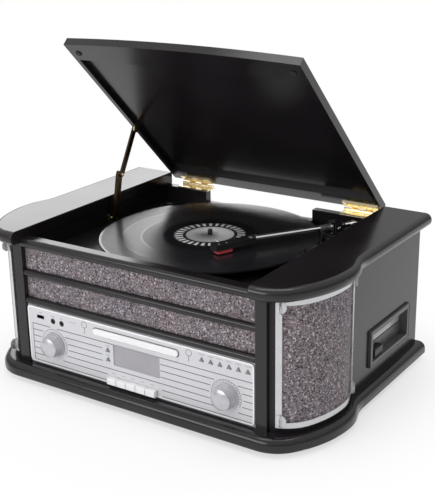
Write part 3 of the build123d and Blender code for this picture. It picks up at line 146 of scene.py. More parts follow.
def cloth_finish():
    """Woven grille cloth: fine grey threads with pale and dark flecks along the diagonals."""
    made, shader = new_material("grille_weave")
    where = place_output(made)
    turned = node(made, "ShaderNodeMapping", vector_type="POINT")
    turned.inputs["Rotation"].default_value = (radians(38), radians(38), radians(38))
    link(made, where, turned.inputs["Vector"])
    rows = node(made, "ShaderNodeTexVoronoi", Scale=620.0, Randomness=0.55)
    link(made, turned.outputs["Vector"], rows.inputs["Vector"])
    split = node(made, "ShaderNodeSeparateColor")
    link(made, rows.outputs["Color"], split.inputs["Color"])
    flecks = ramp(
        made, split.outputs["Red"], (0.0, (0.035, 0.030, 0.034)), (0.16, (0.070, 0.062, 0.068)),
        (0.30, (0.215, 0.198, 0.207)), (0.76, (0.275, 0.255, 0.266)), (0.90, (0.42, 0.40, 0.41)),
        (1.0, (0.80, 0.78, 0.79)))
    fine = ramp(
        made, noise(made, 1500.0, 2.0), (0.35, (0.62, 0.60, 0.61)), (0.65, (1.0, 0.97, 0.98)))
    tint = ramp(made, noise(made, 16.0, 2.0), (0.35, (0.92, 0.90, 0.96)), (0.65, (1.0, 0.92, 0.92)))
    for other in (fine, tint):
        mix = node(made, "ShaderNodeMix", data_type="RGBA", blend_type="MULTIPLY")
        mix.inputs["Factor"].default_value = 1.0
        link(made, flecks, mix.inputs[6])
        link(made, other, mix.inputs[7])
        flecks = mix.outputs[2]
    link(made, flecks, shader.inputs["Base Color"])
    shader.inputs["Roughness"].default_value = 0.85
    shader.inputs["Sheen Weight"].default_value = 0.10
    weave = node(made, "ShaderNodeTexWave", Scale=260.0, Distortion=1.5)
    weave.bands_direction = "DIAGONAL"
    link(made, where, weave.inputs["Vector"])
    bump(made, shader, weave.outputs["Fac"], 0.5, 0.0004)
    return made


def radius_value(made, centre):
    """Distance from a vertical axis through centre, in metres."""
    shift = node(made, "ShaderNodeVectorMath", operation="SUBTRACT")
    link(made, place_output(made), shift.inputs[0])
    shift.inputs[1].default_value = centre
    flat = node(made, "ShaderNodeVectorMath", operation="MULTIPLY")
    link(made, shift.outputs["Vector"], flat.inputs[0])
    flat.inputs[1].default_value = (1, 1, 0)
    length = node(made, "ShaderNodeVectorMath", operation="LENGTH")
    link(made, flat.outputs["Vector"], length.inputs[0])
    return length.outputs["Value"], flat.outputs["Vector"]


def vinyl_finish():
    """Black vinyl with fine grooves, track gaps and dead wax."""
    made, shader = new_material("vinyl")
    radius, _ = radius_value(made, record_centre)
    bands = node(made, "ShaderNodeMath", operation="MULTIPLY")
    link(made, radius, bands.inputs[0])
    bands.inputs[1].default_value = 1 / 0.160
    groove_rough = ramp(
        made, bands.outputs["Value"], (0.0, (0.10, 0.10, 0.10)), (0.405, (0.10, 0.10, 0.10)),
        (0.41, (0.27, 0.27, 0.27)), (0.575, (0.25, 0.25, 0.25)), (0.58, (0.12, 0.12, 0.12)),
        (0.59, (0.22, 0.22, 0.22)), (0.74, (0.24, 0.24, 0.24)), (0.745, (0.14, 0.14, 0.14)),
        (0.755, (0.27, 0.27, 0.27)), (0.92, (0.27, 0.27, 0.27)), (0.925, (0.10, 0.10, 0.10)))
    link(made, groove_rough, shader.inputs["Roughness"])
    tone = ramp(
        made, noise(made, 12.0), (0.3, (0.008, 0.008, 0.009)), (0.7, (0.016, 0.015, 0.018)))
    link(made, tone, shader.inputs["Base Color"])
    shader.inputs["Anisotropic"].default_value = 0.8
    tangent = node(made, "ShaderNodeTangent", direction_type="RADIAL", axis="Z")
    link(made, tangent.outputs["Tangent"], shader.inputs["Tangent"])
    wave = node(made, "ShaderNodeMath", operation="MULTIPLY")
    link(made, radius, wave.inputs[0])
    wave.inputs[1].default_value = 2 * pi / 0.0011
    ridges = node(made, "ShaderNodeMath", operation="SINE")
    link(made, wave.outputs["Value"], ridges.inputs[0])
    bump(made, shader, ridges.outputs["Value"], 0.12, 0.00003)
    return made


def label_finish():
    """Generic record label: a grey disc inside a dark ring with an even ring of pale ticks."""
    made, shader = new_material("record_label")
    radius, offset = radius_value(made, record_centre)
    share = node(made, "ShaderNodeMath", operation="MULTIPLY")
    link(made, radius, share.inputs[0])
    share.inputs[1].default_value = 1 / 0.0500
    rings = ramp(
        made, share.outputs["Value"], (0.0, (0.52, 0.52, 0.54)), (0.20, (0.46, 0.46, 0.48)),
        (0.30, (0.60, 0.60, 0.61)), (0.52, (0.66, 0.66, 0.67)), (0.65, (0.55, 0.55, 0.57)),
        (0.665, (0.012, 0.012, 0.012)), (1.0, (0.012, 0.012, 0.012)))
    parts = node(made, "ShaderNodeSeparateXYZ")
    link(made, offset, parts.inputs[0])
    angle = node(made, "ShaderNodeMath", operation="ARCTAN2")
    link(made, parts.outputs["Y"], angle.inputs[0])
    link(made, parts.outputs["X"], angle.inputs[1])
    turns = node(made, "ShaderNodeMath", operation="MULTIPLY")
    link(made, angle.outputs["Value"], turns.inputs[0])
    turns.inputs[1].default_value = 30.0
    beat = node(made, "ShaderNodeMath", operation="SINE")
    link(made, turns.outputs["Value"], beat.inputs[0])
    tick = node(made, "ShaderNodeMath", operation="GREATER_THAN")
    link(made, beat.outputs["Value"], tick.inputs[0])
    tick.inputs[1].default_value = 0.1
    outer = node(made, "ShaderNodeMath", operation="COMPARE")
    link(made, share.outputs["Value"], outer.inputs[0])
    outer.inputs[1].default_value = 0.85
    outer.inputs[2].default_value = 0.105
    both = node(made, "ShaderNodeMath", operation="MULTIPLY")
    link(made, tick.outputs["Value"], both.inputs[0])
    link(made, outer.outputs["Value"], both.inputs[1])
    mix = node(made, "ShaderNodeMix", data_type="RGBA")
    link(made, both.outputs["Value"], mix.inputs["Factor"])
    link(made, rings, mix.inputs[6])
    mix.inputs[7].default_value = (0.80, 0.80, 0.80, 1)
    link(made, mix.outputs[2], shader.inputs["Base Color"])
    shader.inputs["Roughness"].default_value = 0.45
    bump(made, shader, noise(made, 700.0, 2.0), 0.2, 0.00003)
    return made


def panel_finish():
    """Pale satin panel with a faint diagonal hatch."""
    made, shader = new_material("panel_silver")
    where = place_output(made)
    hatch = node(made, "ShaderNodeTexWave", Scale=330.0, Distortion=2.0)
    hatch.bands_direction = "DIAGONAL"
    link(made, where, hatch.inputs["Vector"])
    tone = ramp(made, hatch.outputs["Fac"], (0.2, (0.60, 0.60, 0.63)), (0.8, (0.70, 0.70, 0.73)))
    link(made, tone, shader.inputs["Base Color"])
    shader.inputs["Metallic"].default_value = 0.15
    link(made, spread(made, noise(made, 60.0), 0.28, 0.42), shader.inputs["Roughness"])
    bump(made, shader, hatch.outputs["Fac"], 0.12, 0.00003)
    return made


LACQUER = lacquer_finish()
CLOTH = cloth_finish()
VINYL = vinyl_finish()
LABEL = label_finish()
PANEL = panel_finish()
INNER_BLACK = finish("inner_black", (0.008, 0.008, 0.009), 0.32, specular=0.35)
SILVER_FRAME = finish("silver_frame", (0.62, 0.62, 0.64), 0.28, metallic=0.75, vary=0.06)
KNOB_SIDE = finish("knob_side", (0.55, 0.55, 0.58), 0.30, metallic=0.55, vary=0.08)
WHITE_PLASTIC = finish("white_plastic", (0.86, 0.86, 0.87), 0.22, coat=0.5, vary=0.03)
BLACK_PLASTIC = finish("black_plastic", (0.014, 0.014, 0.015), 0.38, vary=0.2, grain=1400.0)
GREY_PLASTIC = finish("cassette_plastic", (0.085, 0.080, 0.083), 0.33, vary=0.15, grain=1400.0)
STEEL = finish("zinc_steel", (0.62, 0.62, 0.63), 0.25, metallic=1.0, vary=0.08)
BRASS = finish("polished_brass", (0.84, 0.72, 0.47), 0.20, metallic=1.0, vary=0.10, scale=120.0)
BRONZE = finish("dark_bronze", (0.060, 0.040, 0.024), 0.30, metallic=1.0, vary=0.25, scale=90.0)
CHROME = finish("bright_chrome", (0.88, 0.88, 0.89), 0.09, metallic=1.0, vary=0.03)
RUBBER = finish("black_rubber", (0.018, 0.018, 0.018), 0.75, vary=0.2, grain=1200.0)
RED = finish("red_plastic", (0.72, 0.080, 0.115), 0.25, coat=0.4, vary=0.10)
DISPLAY = finish("display_glass", (0.36, 0.345, 0.375), 0.18, coat=0.3, vary=0.05, scale=25.0)
INK = finish("grey_ink", (0.10, 0.10, 0.105), 0.5, vary=0.1)
# Dark ring colour round the CD tray: painted shade of the gap between tray and panel
PAINTED_GAP_SHADE = finish("painted_gap_shade", (0.02, 0.02, 0.022), 0.5, vary=0.1)
PALE_INK = finish("pale_ink", (0.40, 0.40, 0.42), 0.5, vary=0.05)
GREY_BUTTON = finish("grey_button", (0.22, 0.22, 0.23), 0.35, vary=0.1)
# Cassette flap: grey plastic whose colour is lightened as a painted highlight of the flap
FLAP_LIGHTENED_FOR_HIGHLIGHT = finish("flap_plastic_painted_highlight", (0.42, 0.41, 0.42), 0.22, coat=0.4, vary=0.1)
BOARD = finish("board_green", (0.02, 0.12, 0.05), 0.4, vary=0.2)

NODE_FINISH = {
    "base_plinth": LACQUER, "rubber_feet": RUBBER, "side_panels": LACQUER,
    "back_panel": LACQUER, "top_wings": LACQUER, "well_walls": LACQUER,
    "front_pillars": LACQUER, "front_baffle": INNER_BLACK, "front_mouldings": LACQUER,
    "grille_cloth": CLOTH, "corner_housings": INNER_BLACK, "speaker_frames": SILVER_FRAME,
    "frame_screws": STEEL, "speaker_drivers": BLACK_PLASTIC, "motor_board": INNER_BLACK,
    "spindle_bearing": STEEL, "turntable_motor": STEEL, "drive_belt": RUBBER,
    "tonearm_base": BLACK_PLASTIC, "control_panel": PANEL, "display_window": DISPLAY,
    "port_sockets": BLACK_PLASTIC, "cassette_bezel": GREY_PLASTIC,
    "player_mechanisms": BLACK_PLASTIC, "circuit_board": BOARD,
    "rear_connector_plate": BLACK_PLASTIC, "cabinet_fittings": BRASS,
    "platter": BLACK_PLASTIC, "record": VINYL, "motor_pulley": BRASS,
    "speed_switch": BLACK_PLASTIC, "auto_stop_switch": BLACK_PLASTIC,
    "tonearm_gimbal": BLACK_PLASTIC, "tonearm_tube": CHROME, "headshell": BLACK_PLASTIC,
    "cartridge": RED, "lid_panel": LACQUER, "lid_frame": LACQUER, "lid_bumpers": RUBBER,
    "lid_fittings": BRASS, "stay_lower_arm": BRONZE, "stay_upper_arm": BRONZE,
    "volume_knob": KNOB_SIDE, "tuning_knob": KNOB_SIDE, "cd_tray": WHITE_PLASTIC,
    "cassette_door": FLAP_LIGHTENED_FOR_HIGHLIGHT, "eject_button": BLACK_PLASTIC,
}


def dress_nodes():
    """Gives every solid its finish; buttons are dark and keys are white."""
    for name, obj in nodes.items():
        chosen = NODE_FINISH.get(name, GREY_BUTTON if "button" in name else WHITE_PLASTIC)
        obj.data.materials.clear()
        obj.data.materials.append(chosen)


def mesh_object(name, body, made):
    """Turns a bmesh into a piece that rides on a body."""
    data = bpy.data.meshes.new(name)
    made.to_mesh(data)
    made.free()
    obj = bpy.data.objects.new(name, data)
    bpy.context.scene.collection.objects.link(obj)
    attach(obj, body)
    return obj


def paint(obj, *materials):
    """Gives a piece its materials."""
    for made in materials:
        obj.data.materials.append(made)
    return obj


def add_plate(made, x_range, z_range, y, thickness):
    """Thin upright plate on the front, from y outwards by thickness."""
    x0, x1 = x_range
    z0, z1 = z_range
    box = bmesh.ops.create_cube(made, size=1.0)
    middle = Vector(((x0 + x1) / 2, y - thickness / 2, (z0 + z1) / 2))
    for vertex in box["verts"]:
        scale = Vector((x1 - x0, thickness, z1 - z0))
        vertex.co = Vector(a * b for a, b in zip(vertex.co, scale)) + middle


def add_arc(made, centre, radius, width, start, end, y, thickness, steps=40):
    """Flat printed arc on the front; angles in degrees from +X towards +Z."""
    rows = []
    for i in range(steps + 1):
        angle = radians(start + (end - start) * i / steps)
        ray = Vector((cos(angle), 0, sin(angle)))
        base = Vector((centre[0], y, centre[1]))
        inner, outer = base + ray * (radius - width / 2), base + ray * (radius + width / 2)
        lift = Vector((0, -thickness, 0))
        rows.append([made.verts.new(p) for p in (inner, outer, outer + lift, inner + lift)])
    for a, b in zip(rows, rows[1:]):
        for i in range(4):
            made.faces.new((a[i], a[(i + 1) % 4], b[(i + 1) % 4], b[i]))
    if abs(end - start) < 360:
        made.faces.new(rows[0][::-1])
        made.faces.new(rows[-1])
    bmesh.ops.remove_doubles(made, verts=made.verts, dist=1e-7)
    bmesh.ops.recalc_face_normals(made, faces=made.faces)


# Outline of the control panel's face and places on the speaker frames and the stay
PANEL_HALF = 179.3 * MM
PANEL_HEIGHT = 81.0 * MM
PANEL_MIDDLE_Z = 67.5 * MM
STAY_HALF_WIDTH = 4.5 * MM
RIVET_RADIUS = 2.2 * MM
RIVET_RISE = 0.5 * MM
SCREW_RISE = 1.3 * MM
FRONT_SCREW_LIMIT = 225 * MM
CORNER_RADIUS = 54.5 * MM
TAB_RADIUS = 8.0 * MM
TAB_EDGE = -4.3 * MM
TAB_STEPS = 48
RIM_RISE = 0.5 * MM
RIM_SUNK = 0.3 * MM

# Printed lines of the control panel
STRIP_LINE = 83.1 * MM
BOTTOM_LINE = 29.7 * MM
LINE_COUNT = 7
LINE_WIDTH = 0.95 * MM
PRINT = 0.12 * MM
left_knob = Vector(joints["volume_turn"]["pos_m"])
right_knob = Vector(joints["tuning_turn"]["pos_m"])
KNOB_CLEAR = 24.5 * MM
LINE_ENDS = (-172.5 * MM, 176.8 * MM)
DISPLAY_CLEAR = (-52.0 * MM, 41.5 * MM)
KEYS_CLEAR = (-45.0 * MM, 43.0 * MM)


def line_gaps(index, z):
    """Stretches of a printed line that stay clear, as x ranges."""
    gaps = []
    for knob in (left_knob, right_knob):
        reach = KNOB_CLEAR ** 2 - (z - knob.z) ** 2
        if reach > 0:
            gaps.append((knob.x - sqrt(reach), knob.x + sqrt(reach)))
    display_low, display_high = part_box("display_window")
    if 0 < index and display_low.z - 2 * MM < z < display_high.z + 2 * MM:
        gaps.append(DISPLAY_CLEAR)
    if z < 42 * MM:
        gaps.append(KEYS_CLEAR)
    return sorted(gaps)


def printed_lines():
    made = bmesh.new()
    for i in range(LINE_COUNT):
        z = STRIP_LINE + (BOTTOM_LINE - STRIP_LINE) * i / (LINE_COUNT - 1)
        x = LINE_ENDS[0]
        for low, high in line_gaps(i, z) + [(LINE_ENDS[1], None)]:
            if low > x:
                height = (z - LINE_WIDTH / 2, z + LINE_WIDTH / 2)
                add_plate(made, (x, low), height, panel_face, PRINT)
            x = max(x, high or x)
    add_plate(made, (LINE_ENDS[0], LINE_ENDS[0] + LINE_WIDTH), (BOTTOM_LINE, STRIP_LINE),
              panel_face, PRINT)
    return paint(mesh_object("printed_lines", "cabinet", made), INK)


def knob_scales():
    """Rings and tick marks printed round both knobs."""
    made = bmesh.new()
    for knob in (left_knob, right_knob):
        centre = (knob.x, knob.z)
        add_arc(made, centre, 21.5 * MM, 0.5 * MM, -30, 210, panel_face, PRINT)
    for i in range(21):
        angle = -20 + 220 * i / 20
        add_arc(made, (right_knob.x, right_knob.z), 19.6 * MM, 2.0 * MM, angle - 0.9, angle + 0.9,
                panel_face, PRINT, 2)
    return paint(mesh_object("knob_scales", "cabinet", made), INK)


# Indicator rings: centre x and z and the foot of the stem, in millimetres
INDICATORS = ((-80.4, 100.0, 87.5), (85.5, 100.4, 88.2))
INDICATOR_RADIUS = 4.2
STEM_HALF = 0.35


def indicators():
    """Two indicator rings with their stems."""
    made = bmesh.new()
    for x, z, stem in INDICATORS:
        centre = (x * MM, z * MM)
        add_arc(made, centre, INDICATOR_RADIUS * MM, 0.6 * MM, 0, 360, panel_face, PRINT)
        add_plate(made, ((x - STEM_HALF) * MM, (x + STEM_HALF) * MM),
                  (stem * MM, (z - INDICATOR_RADIUS) * MM), panel_face, PRINT)
    return paint(mesh_object("indicator_rings", "cabinet", made), INK)


MARK_HALF = 0.45


def label_marks():
    """Short grey bars where the photo has lettering."""
    made = bmesh.new()
    marks = [(-157.0, 100.5, 6.0), (-135.0, 99.5, 6.5), (-120.0, 99.5, 5.0), (-101.0, 98.5, 12.0)]
    marks += [(104.5 + 13.2 * i, 102.8, 9.0) for i in range(6)]
    marks += [(-34.3 + 15.5 * i, 42.0, 6.0) for i in range(5)]
    marks += [(-42.7, 79.2, 7.0), (-42.7, 66.2, 7.0)]
    for x, z, width in marks:
        add_plate(made, ((x - width / 2) * MM, (x + width / 2) * MM),
                  ((z - MARK_HALF) * MM, (z + MARK_HALF) * MM), panel_face, PRINT)
    return paint(mesh_object("label_marks", "cabinet", made), PALE_INK)


def spin(name, body, profile, centre, axis, materials, steps=96, breaks=()):
    """Turned piece: profile points are (radius, height along axis)."""
    made = bmesh.new()
    axis = Vector(axis).normalized()
    side = axis.orthogonal().normalized()
    other = axis.cross(side)
    rows = []
    for radius, height in profile:
        row = []
        for i in range(steps):
            angle = 2 * pi * i / steps
            ray = side * cos(angle) + other * sin(angle)
            row.append(made.verts.new(Vector(centre) + ray * radius + axis * height))
        rows.append(row)
    for k, (a, b) in enumerate(zip(rows, rows[1:])):
        index = sum(1 for value in breaks if k >= value)
        for i in range(steps):
            face = made.faces.new((a[i], a[(i + 1) % steps], b[(i + 1) % steps], b[i]))
            face.material_index = index
            face.smooth = True
    made.faces.new(rows[0][::-1])
    made.faces.new(rows[-1]).material_index = len(breaks)
    bmesh.ops.recalc_face_normals(made, faces=made.faces)
    return paint(mesh_object(name, body, made), *materials)


def record_label():
    """Paper label with its rounded rim, round the spindle."""
    hole, rim, thick = 3.8 * MM, 49.6 * MM, 0.22 * MM
    base = record_top - 0.15 * MM
    made = bmesh.new()
    steps = 128
    rows = []
    edge = rim - 0.5 * MM
    for radius, height in ((hole, 0), (hole, thick), (edge, thick), (rim, thick / 2), (rim, 0)):
        rows.append([
            made.verts.new((record_centre.x + radius * cos(2 * pi * i / steps),
                            record_centre.y + radius * sin(2 * pi * i / steps), base + height))
            for i in range(steps)])
    rows.append(rows[0])
    for a, b in zip(rows, rows[1:]):
        for i in range(steps):
            made.faces.new((a[i], a[(i + 1) % steps], b[(i + 1) % steps], b[i])).smooth = True
    bmesh.ops.recalc_face_normals(made, faces=made.faces)
    return paint(mesh_object("record_label", "turntable", made), LABEL)


def rounded_outline(middle, size, corner, steps=8):
    """Points (x, z) round a rectangle with rounded corners, counter-clockwise."""
    half_x, half_z = size[0] / 2 - corner, size[1] / 2 - corner
    points = []
    for quarter, (sx, sz) in enumerate(((1, 1), (-1, 1), (-1, -1), (1, -1))):
        for i in range(steps + 1):
            angle = pi / 2 * (quarter + i / steps)
            points.append((middle[0] + sx * half_x + corner * cos(angle),
                           middle[1] + sz * half_z + corner * sin(angle)))
    return points


def close_band(made, rows):
    """Joins four closed rows of vertices into a band with a rectangular section."""
    count = len(rows[0])
    for a, b in zip(rows, rows[1:] + rows[:1]):
        for i in range(count):
            made.faces.new((a[i], a[(i + 1) % count], b[(i + 1) % count], b[i]))
    bmesh.ops.recalc_face_normals(made, faces=made.faces)


def front_ring(name, middle, size, corner, width, y, thickness, material, body="cabinet"):
    """Flat band round a rounded rectangle on the front; its outer edge has the given size."""
    made = bmesh.new()
    outer = rounded_outline(middle, size, corner)
    inner = rounded_outline(
        middle, (size[0] - 2 * width, size[1] - 2 * width), max(corner - width, 0.01 * MM))
    rows = []
    for line, lift in ((outer, 0), (outer, thickness), (inner, thickness), (inner, 0)):
        rows.append([made.verts.new((x, y - lift, z)) for x, z in line])
    close_band(made, rows)
    obj = paint(mesh_object(name, body, made), material)
    rounding = obj.modifiers.new("edge", "BEVEL")
    rounding.width = min(width, thickness) / 4
    rounding.segments = 2
    return obj


def panel_rims():
    """Pale edge round the panel, a dark ring of painted shade round the tray bar where its gap is,
    and the frame of the display.
    """
    low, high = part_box("control_panel")
    middle_x = (low.x + high.x) / 2
    front_ring("panel_rim", (middle_x, PANEL_MIDDLE_Z), (2 * PANEL_HALF, PANEL_HEIGHT), 5 * MM,
               2.2 * MM, panel_face, 0.5 * MM, WHITE_PLASTIC)
    # Dark ring printed on the panel face round the tray: painted shade of its gap
    low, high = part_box("cd_tray")
    bar_z = (low.z + high.z) / 2
    size = (high.x - low.x + 2.4 * MM, high.z - low.z + 2.4 * MM)
    front_ring("tray_gap_painted_shade", ((low.x + high.x) / 2, bar_z), size, size[1] / 2 - 0.01 * MM,
               0.8 * MM, panel_face, PRINT, PAINTED_GAP_SHADE)
    low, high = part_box("display_window")
    size = (high.x - low.x + 1.6 * MM, high.z - low.z + 1.6 * MM)
    front_ring("display_frame", ((low.x + high.x) / 2, (low.z + high.z) / 2), size, 0.8 * MM,
               0.8 * MM, panel_face, 0.3 * MM, PALE_INK)


def rod(name, body, start, end, radius, material, ends=None):
    """Turned rod between two points with slightly rounded ends."""
    start, end = Vector(start), Vector(end)
    length = (end - start).length
    soft = ends or radius * 0.25
    profile = ((radius - soft, 0), (radius, soft), (radius, length - soft), (radius - soft, length))
    return spin(name, body, profile, start, end - start, [material], steps=48)


def wire(name, body, points, radius, material, closed=False):
    """Round wire along a smooth curve."""
    data = bpy.data.curves.new(name, "CURVE")
    data.dimensions = "3D"
    data.bevel_depth = radius
    data.bevel_resolution = 6
    data.use_fill_caps = True
    line = data.splines.new("NURBS")
    line.points.add(len(points) - 1)
    for target, point in zip(line.points, points):
        target.co = (*point, 1)
    line.order_u = 3
    line.use_endpoint_u = not closed
    line.use_cyclic_u = closed
    line.resolution_u = 8
    obj = bpy.data.objects.new(name, data)
    bpy.context.scene.collection.objects.link(obj)
    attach(obj, body)
    return paint(obj, material)


def arm_point(along, across=0.0, up=0.0):
    """Place on the tonearm, in millimetres from its pivot."""
    side = Vector((-arm_direction.y, arm_direction.x, 0))
    return arm_pivot + arm_direction * along * MM + side * across * MM + Vector((0, 0, up * MM))


# Rings on the tonearm: name, start and end from the pivot, radius (millimetres), material
ARM_RINGS = (
    ("arm_front_collar", 118, 124.5, 4.3, BLACK_PLASTIC),
    ("arm_collar_ring", 116.4, 117.8, 4.0, BRASS),
    ("arm_pivot_sleeve", 7, 24, 4.5, GREY_PLASTIC),
    ("arm_tail_cap", -30.6, -22, 4.2, CHROME),
    ("arm_tail_ring", -14, -10.5, 4.9, BLACK_PLASTIC),
)
ARM_NECK = 127
SHELL_SCREW_SHIFT = 6.0 * MM


def tonearm_details():
    """Collars, tail cap, finger lift, shell screws and pivot screws of the tonearm."""
    for name, start, end, radius, material in ARM_RINGS:
        rod(name, "tonearm", arm_point(start), arm_point(end), radius * MM, material)
    for side in (-1, 1):
        rod(f"pivot_screw_{'left' if side < 0 else 'right'}", "tonearm_gimbal",
            arm_point(0, side * 12.1), arm_point(0, side * 13.6), 2.6 * MM, STEEL)
    rod("gimbal_cap", "tonearm_gimbal", arm_point(9.5, 9.5, -8.2), arm_point(9.5, 9.5, -4.6),
        2.4 * MM, BLACK_PLASTIC)
    shell_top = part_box("headshell")[1].z
    shell_low, shell_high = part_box("cartridge")
    shell_middle = (shell_low + shell_high) / 2
    neck = arm_point(ARM_NECK)
    shell_direction = Vector((shell_middle.x - neck.x, shell_middle.y - neck.y, 0)).normalized()
    shell_side = Vector((-shell_direction.y, shell_direction.x, 0))
    base = Vector((shell_middle.x, shell_middle.y, shell_top - 1.2 * MM))
    lift = [
        base - shell_side * 7.0 * MM, base - shell_side * 10.0 * MM + Vector((0, 0, 0.3 * MM)),
        base - shell_side * 13.0 * MM + shell_direction * 1.5 * MM + Vector((0, 0, 1.0 * MM)),
        base - shell_side * 15.5 * MM + shell_direction * 4.0 * MM + Vector((0, 0, 3.2 * MM))]
    wire("finger_lift", "tonearm", lift, 0.75 * MM, CHROME)
    for shift in (-SHELL_SCREW_SHIFT, SHELL_SCREW_SHIFT):
        top = base + shell_direction * shift + Vector((0, 0, 1.0 * MM))
        rod(f"shell_screw_{'rear' if shift < 0 else 'front'}", "tonearm", top,
            top + Vector((0, 0, 0.7 * MM)), 1.3 * MM, STEEL)


def stay_details():
    """Knee rivet of the lid stay."""
    low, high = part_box("stay_lower_arm")
    upper_low, upper_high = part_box("stay_upper_arm")
    knee_z = high.z - STAY_HALF_WIDTH
    head = [v.co for v in nodes["stay_lower_arm"].data.vertices if v.co.z > knee_z]
    knee = sum(head, Vector()) / len(head)
    inner, outer = min(low.x, upper_low.x), max(high.x, upper_high.x)
    rod("stay_rivet", "stay_lower_arm", (inner - RIVET_RISE, knee.y, knee_z),
        (outer + RIVET_RISE, knee.y, knee_z), RIVET_RADIUS, BRASS)


def speaker_corner_tabs():
    """Rounded tabs of the speaker frames under their screws, bent to the curve."""
    source = bmesh.new()
    source.from_mesh(nodes["frame_screws"].data)
    left = set(source.verts)
    groups = []
    while left:
        stack, group = [left.pop()], []
        while stack:
            vertex = stack.pop()
            group.append(vertex)
            for edge in vertex.link_edges:
                other = edge.other_vert(vertex)
                if other in left:
                    left.remove(other)
                    stack.append(other)
        groups.append(group)
    made = bmesh.new()
    for group in groups:
        points = [vertex.co for vertex in group]
        middle = sum(points, Vector()) / len(points)
        face = max({f for vertex in group for f in vertex.link_faces}, key=lambda f: f.calc_area())
        outwards = Vector((face.normal.x, face.normal.y, 0)).normalized()
        if outwards.dot(Vector((middle.x, -0.2, 0))) < 0:
            outwards = -outwards
        seat = max(p.dot(outwards) for p in points) - SCREW_RISE
        centre = middle + outwards * (seat - middle.dot(outwards))
        into = Vector((-outwards.y, outwards.x, 0))
        front = abs(middle.x) < FRONT_SCREW_LIMIT
        if into.dot(Vector((middle.x, 0, 0)) if front else Vector((0, -1, 0))) < 0:
            into = -into
        bend = 1 / (2 * CORNER_RADIUS) if front else 0
        rows = []
        for lift in (0.15 * MM, 0.85 * MM):
            row = []
            for i in range(TAB_STEPS):
                angle = 2 * pi * i / TAB_STEPS
                u = max(TAB_RADIUS * cos(angle), TAB_EDGE)
                v = TAB_RADIUS * sin(angle)
                row.append(made.verts.new(
                    centre + into * u + outwards * (lift - u * u * bend) + Vector((0, 0, v))))
            rows.append(row)
        for i in range(TAB_STEPS):
            j = (i + 1) % TAB_STEPS
            made.faces.new((rows[0][i], rows[0][j], rows[1][j], rows[1][i]))
        made.faces.new(rows[1])
        made.faces.new(rows[0][::-1])
    source.free()
    bmesh.ops.remove_doubles(made, verts=made.verts, dist=1e-6)
    bmesh.ops.dissolve_degenerate(made, edges=made.edges, dist=1e-6)
    bmesh.ops.recalc_face_normals(made, faces=made.faces)
    return paint(mesh_object("speaker_corner_tabs", "cabinet", made), SILVER_FRAME)


def knob_marks():
    """Small dark index dot near the edge of each knob."""
    for name, body in (("volume_knob", "volume_knob"), ("tuning_knob", "tuning_knob")):
        low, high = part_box(name)
        middle = (low + high) / 2
        place = Vector((middle.x - 6.5 * MM, low.y + 1.3 * MM, middle.z + 8.0 * MM))
        rod(f"{name}_mark", body, place, place + Vector((0, -0.5 * MM, 0)), 0.9 * MM, PALE_INK)


def deck_details():
    """Slotted plates round the two deck switches."""
    slides = {"speed_switch": "speed_switch_slide", "auto_stop_switch": "auto_stop_slide"}
    for name, slide in slides.items():
        low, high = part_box(name)
        travel = joints[slide]["range_m"][1]
        middle = Vector(((low.x + high.x + travel) / 2, (low.y + high.y) / 2, deck_top))
        size = Vector((high.x - low.x + travel + 6 * MM, high.y - low.y + 6 * MM, 0))
        made = bmesh.new()
        outer = rounded_outline((middle.x, middle.y), size, 2 * MM)
        inner = rounded_outline((middle.x, middle.y), (size.x - 10 * MM, 4.4 * MM), 1 * MM)
        rows = []
        for line, lift in ((outer, 0), (outer, 0.3 * MM), (inner, 0.3 * MM), (inner, 0)):
            rows.append([made.verts.new((x, y, deck_top + lift)) for x, y in line])
        close_band(made, rows)
        paint(mesh_object(f"{name}_plate", "cabinet", made), GREY_PLASTIC)


# Distances from the middle over which the floor fades to plain white
SHADOW_NEAR = 0.22
SHADOW_FAR = 0.42


def cassette_details():
    """Raised rim of the cassette bezel."""
    low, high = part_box("cassette_bezel")
    middle = ((low.y + high.y) / 2, (low.z + high.z) / 2)
    width, height = high.y - low.y, high.z - low.z
    outer = rounded_outline(middle, (width - 1 * MM, height - 1 * MM), 2.5 * MM)
    inner = rounded_outline(middle, (width - 4 * MM, height - 4 * MM), 1.5 * MM)
    made = bmesh.new()
    rows = []
    for line, lift in ((outer, -RIM_SUNK), (outer, RIM_RISE), (inner, RIM_RISE), (inner, -RIM_SUNK)):
        rows.append([made.verts.new((high.x + lift, y, z)) for y, z in line])
    close_band(made, rows)
    return paint(mesh_object("cassette_rim", "cabinet", made), GREY_PLASTIC)


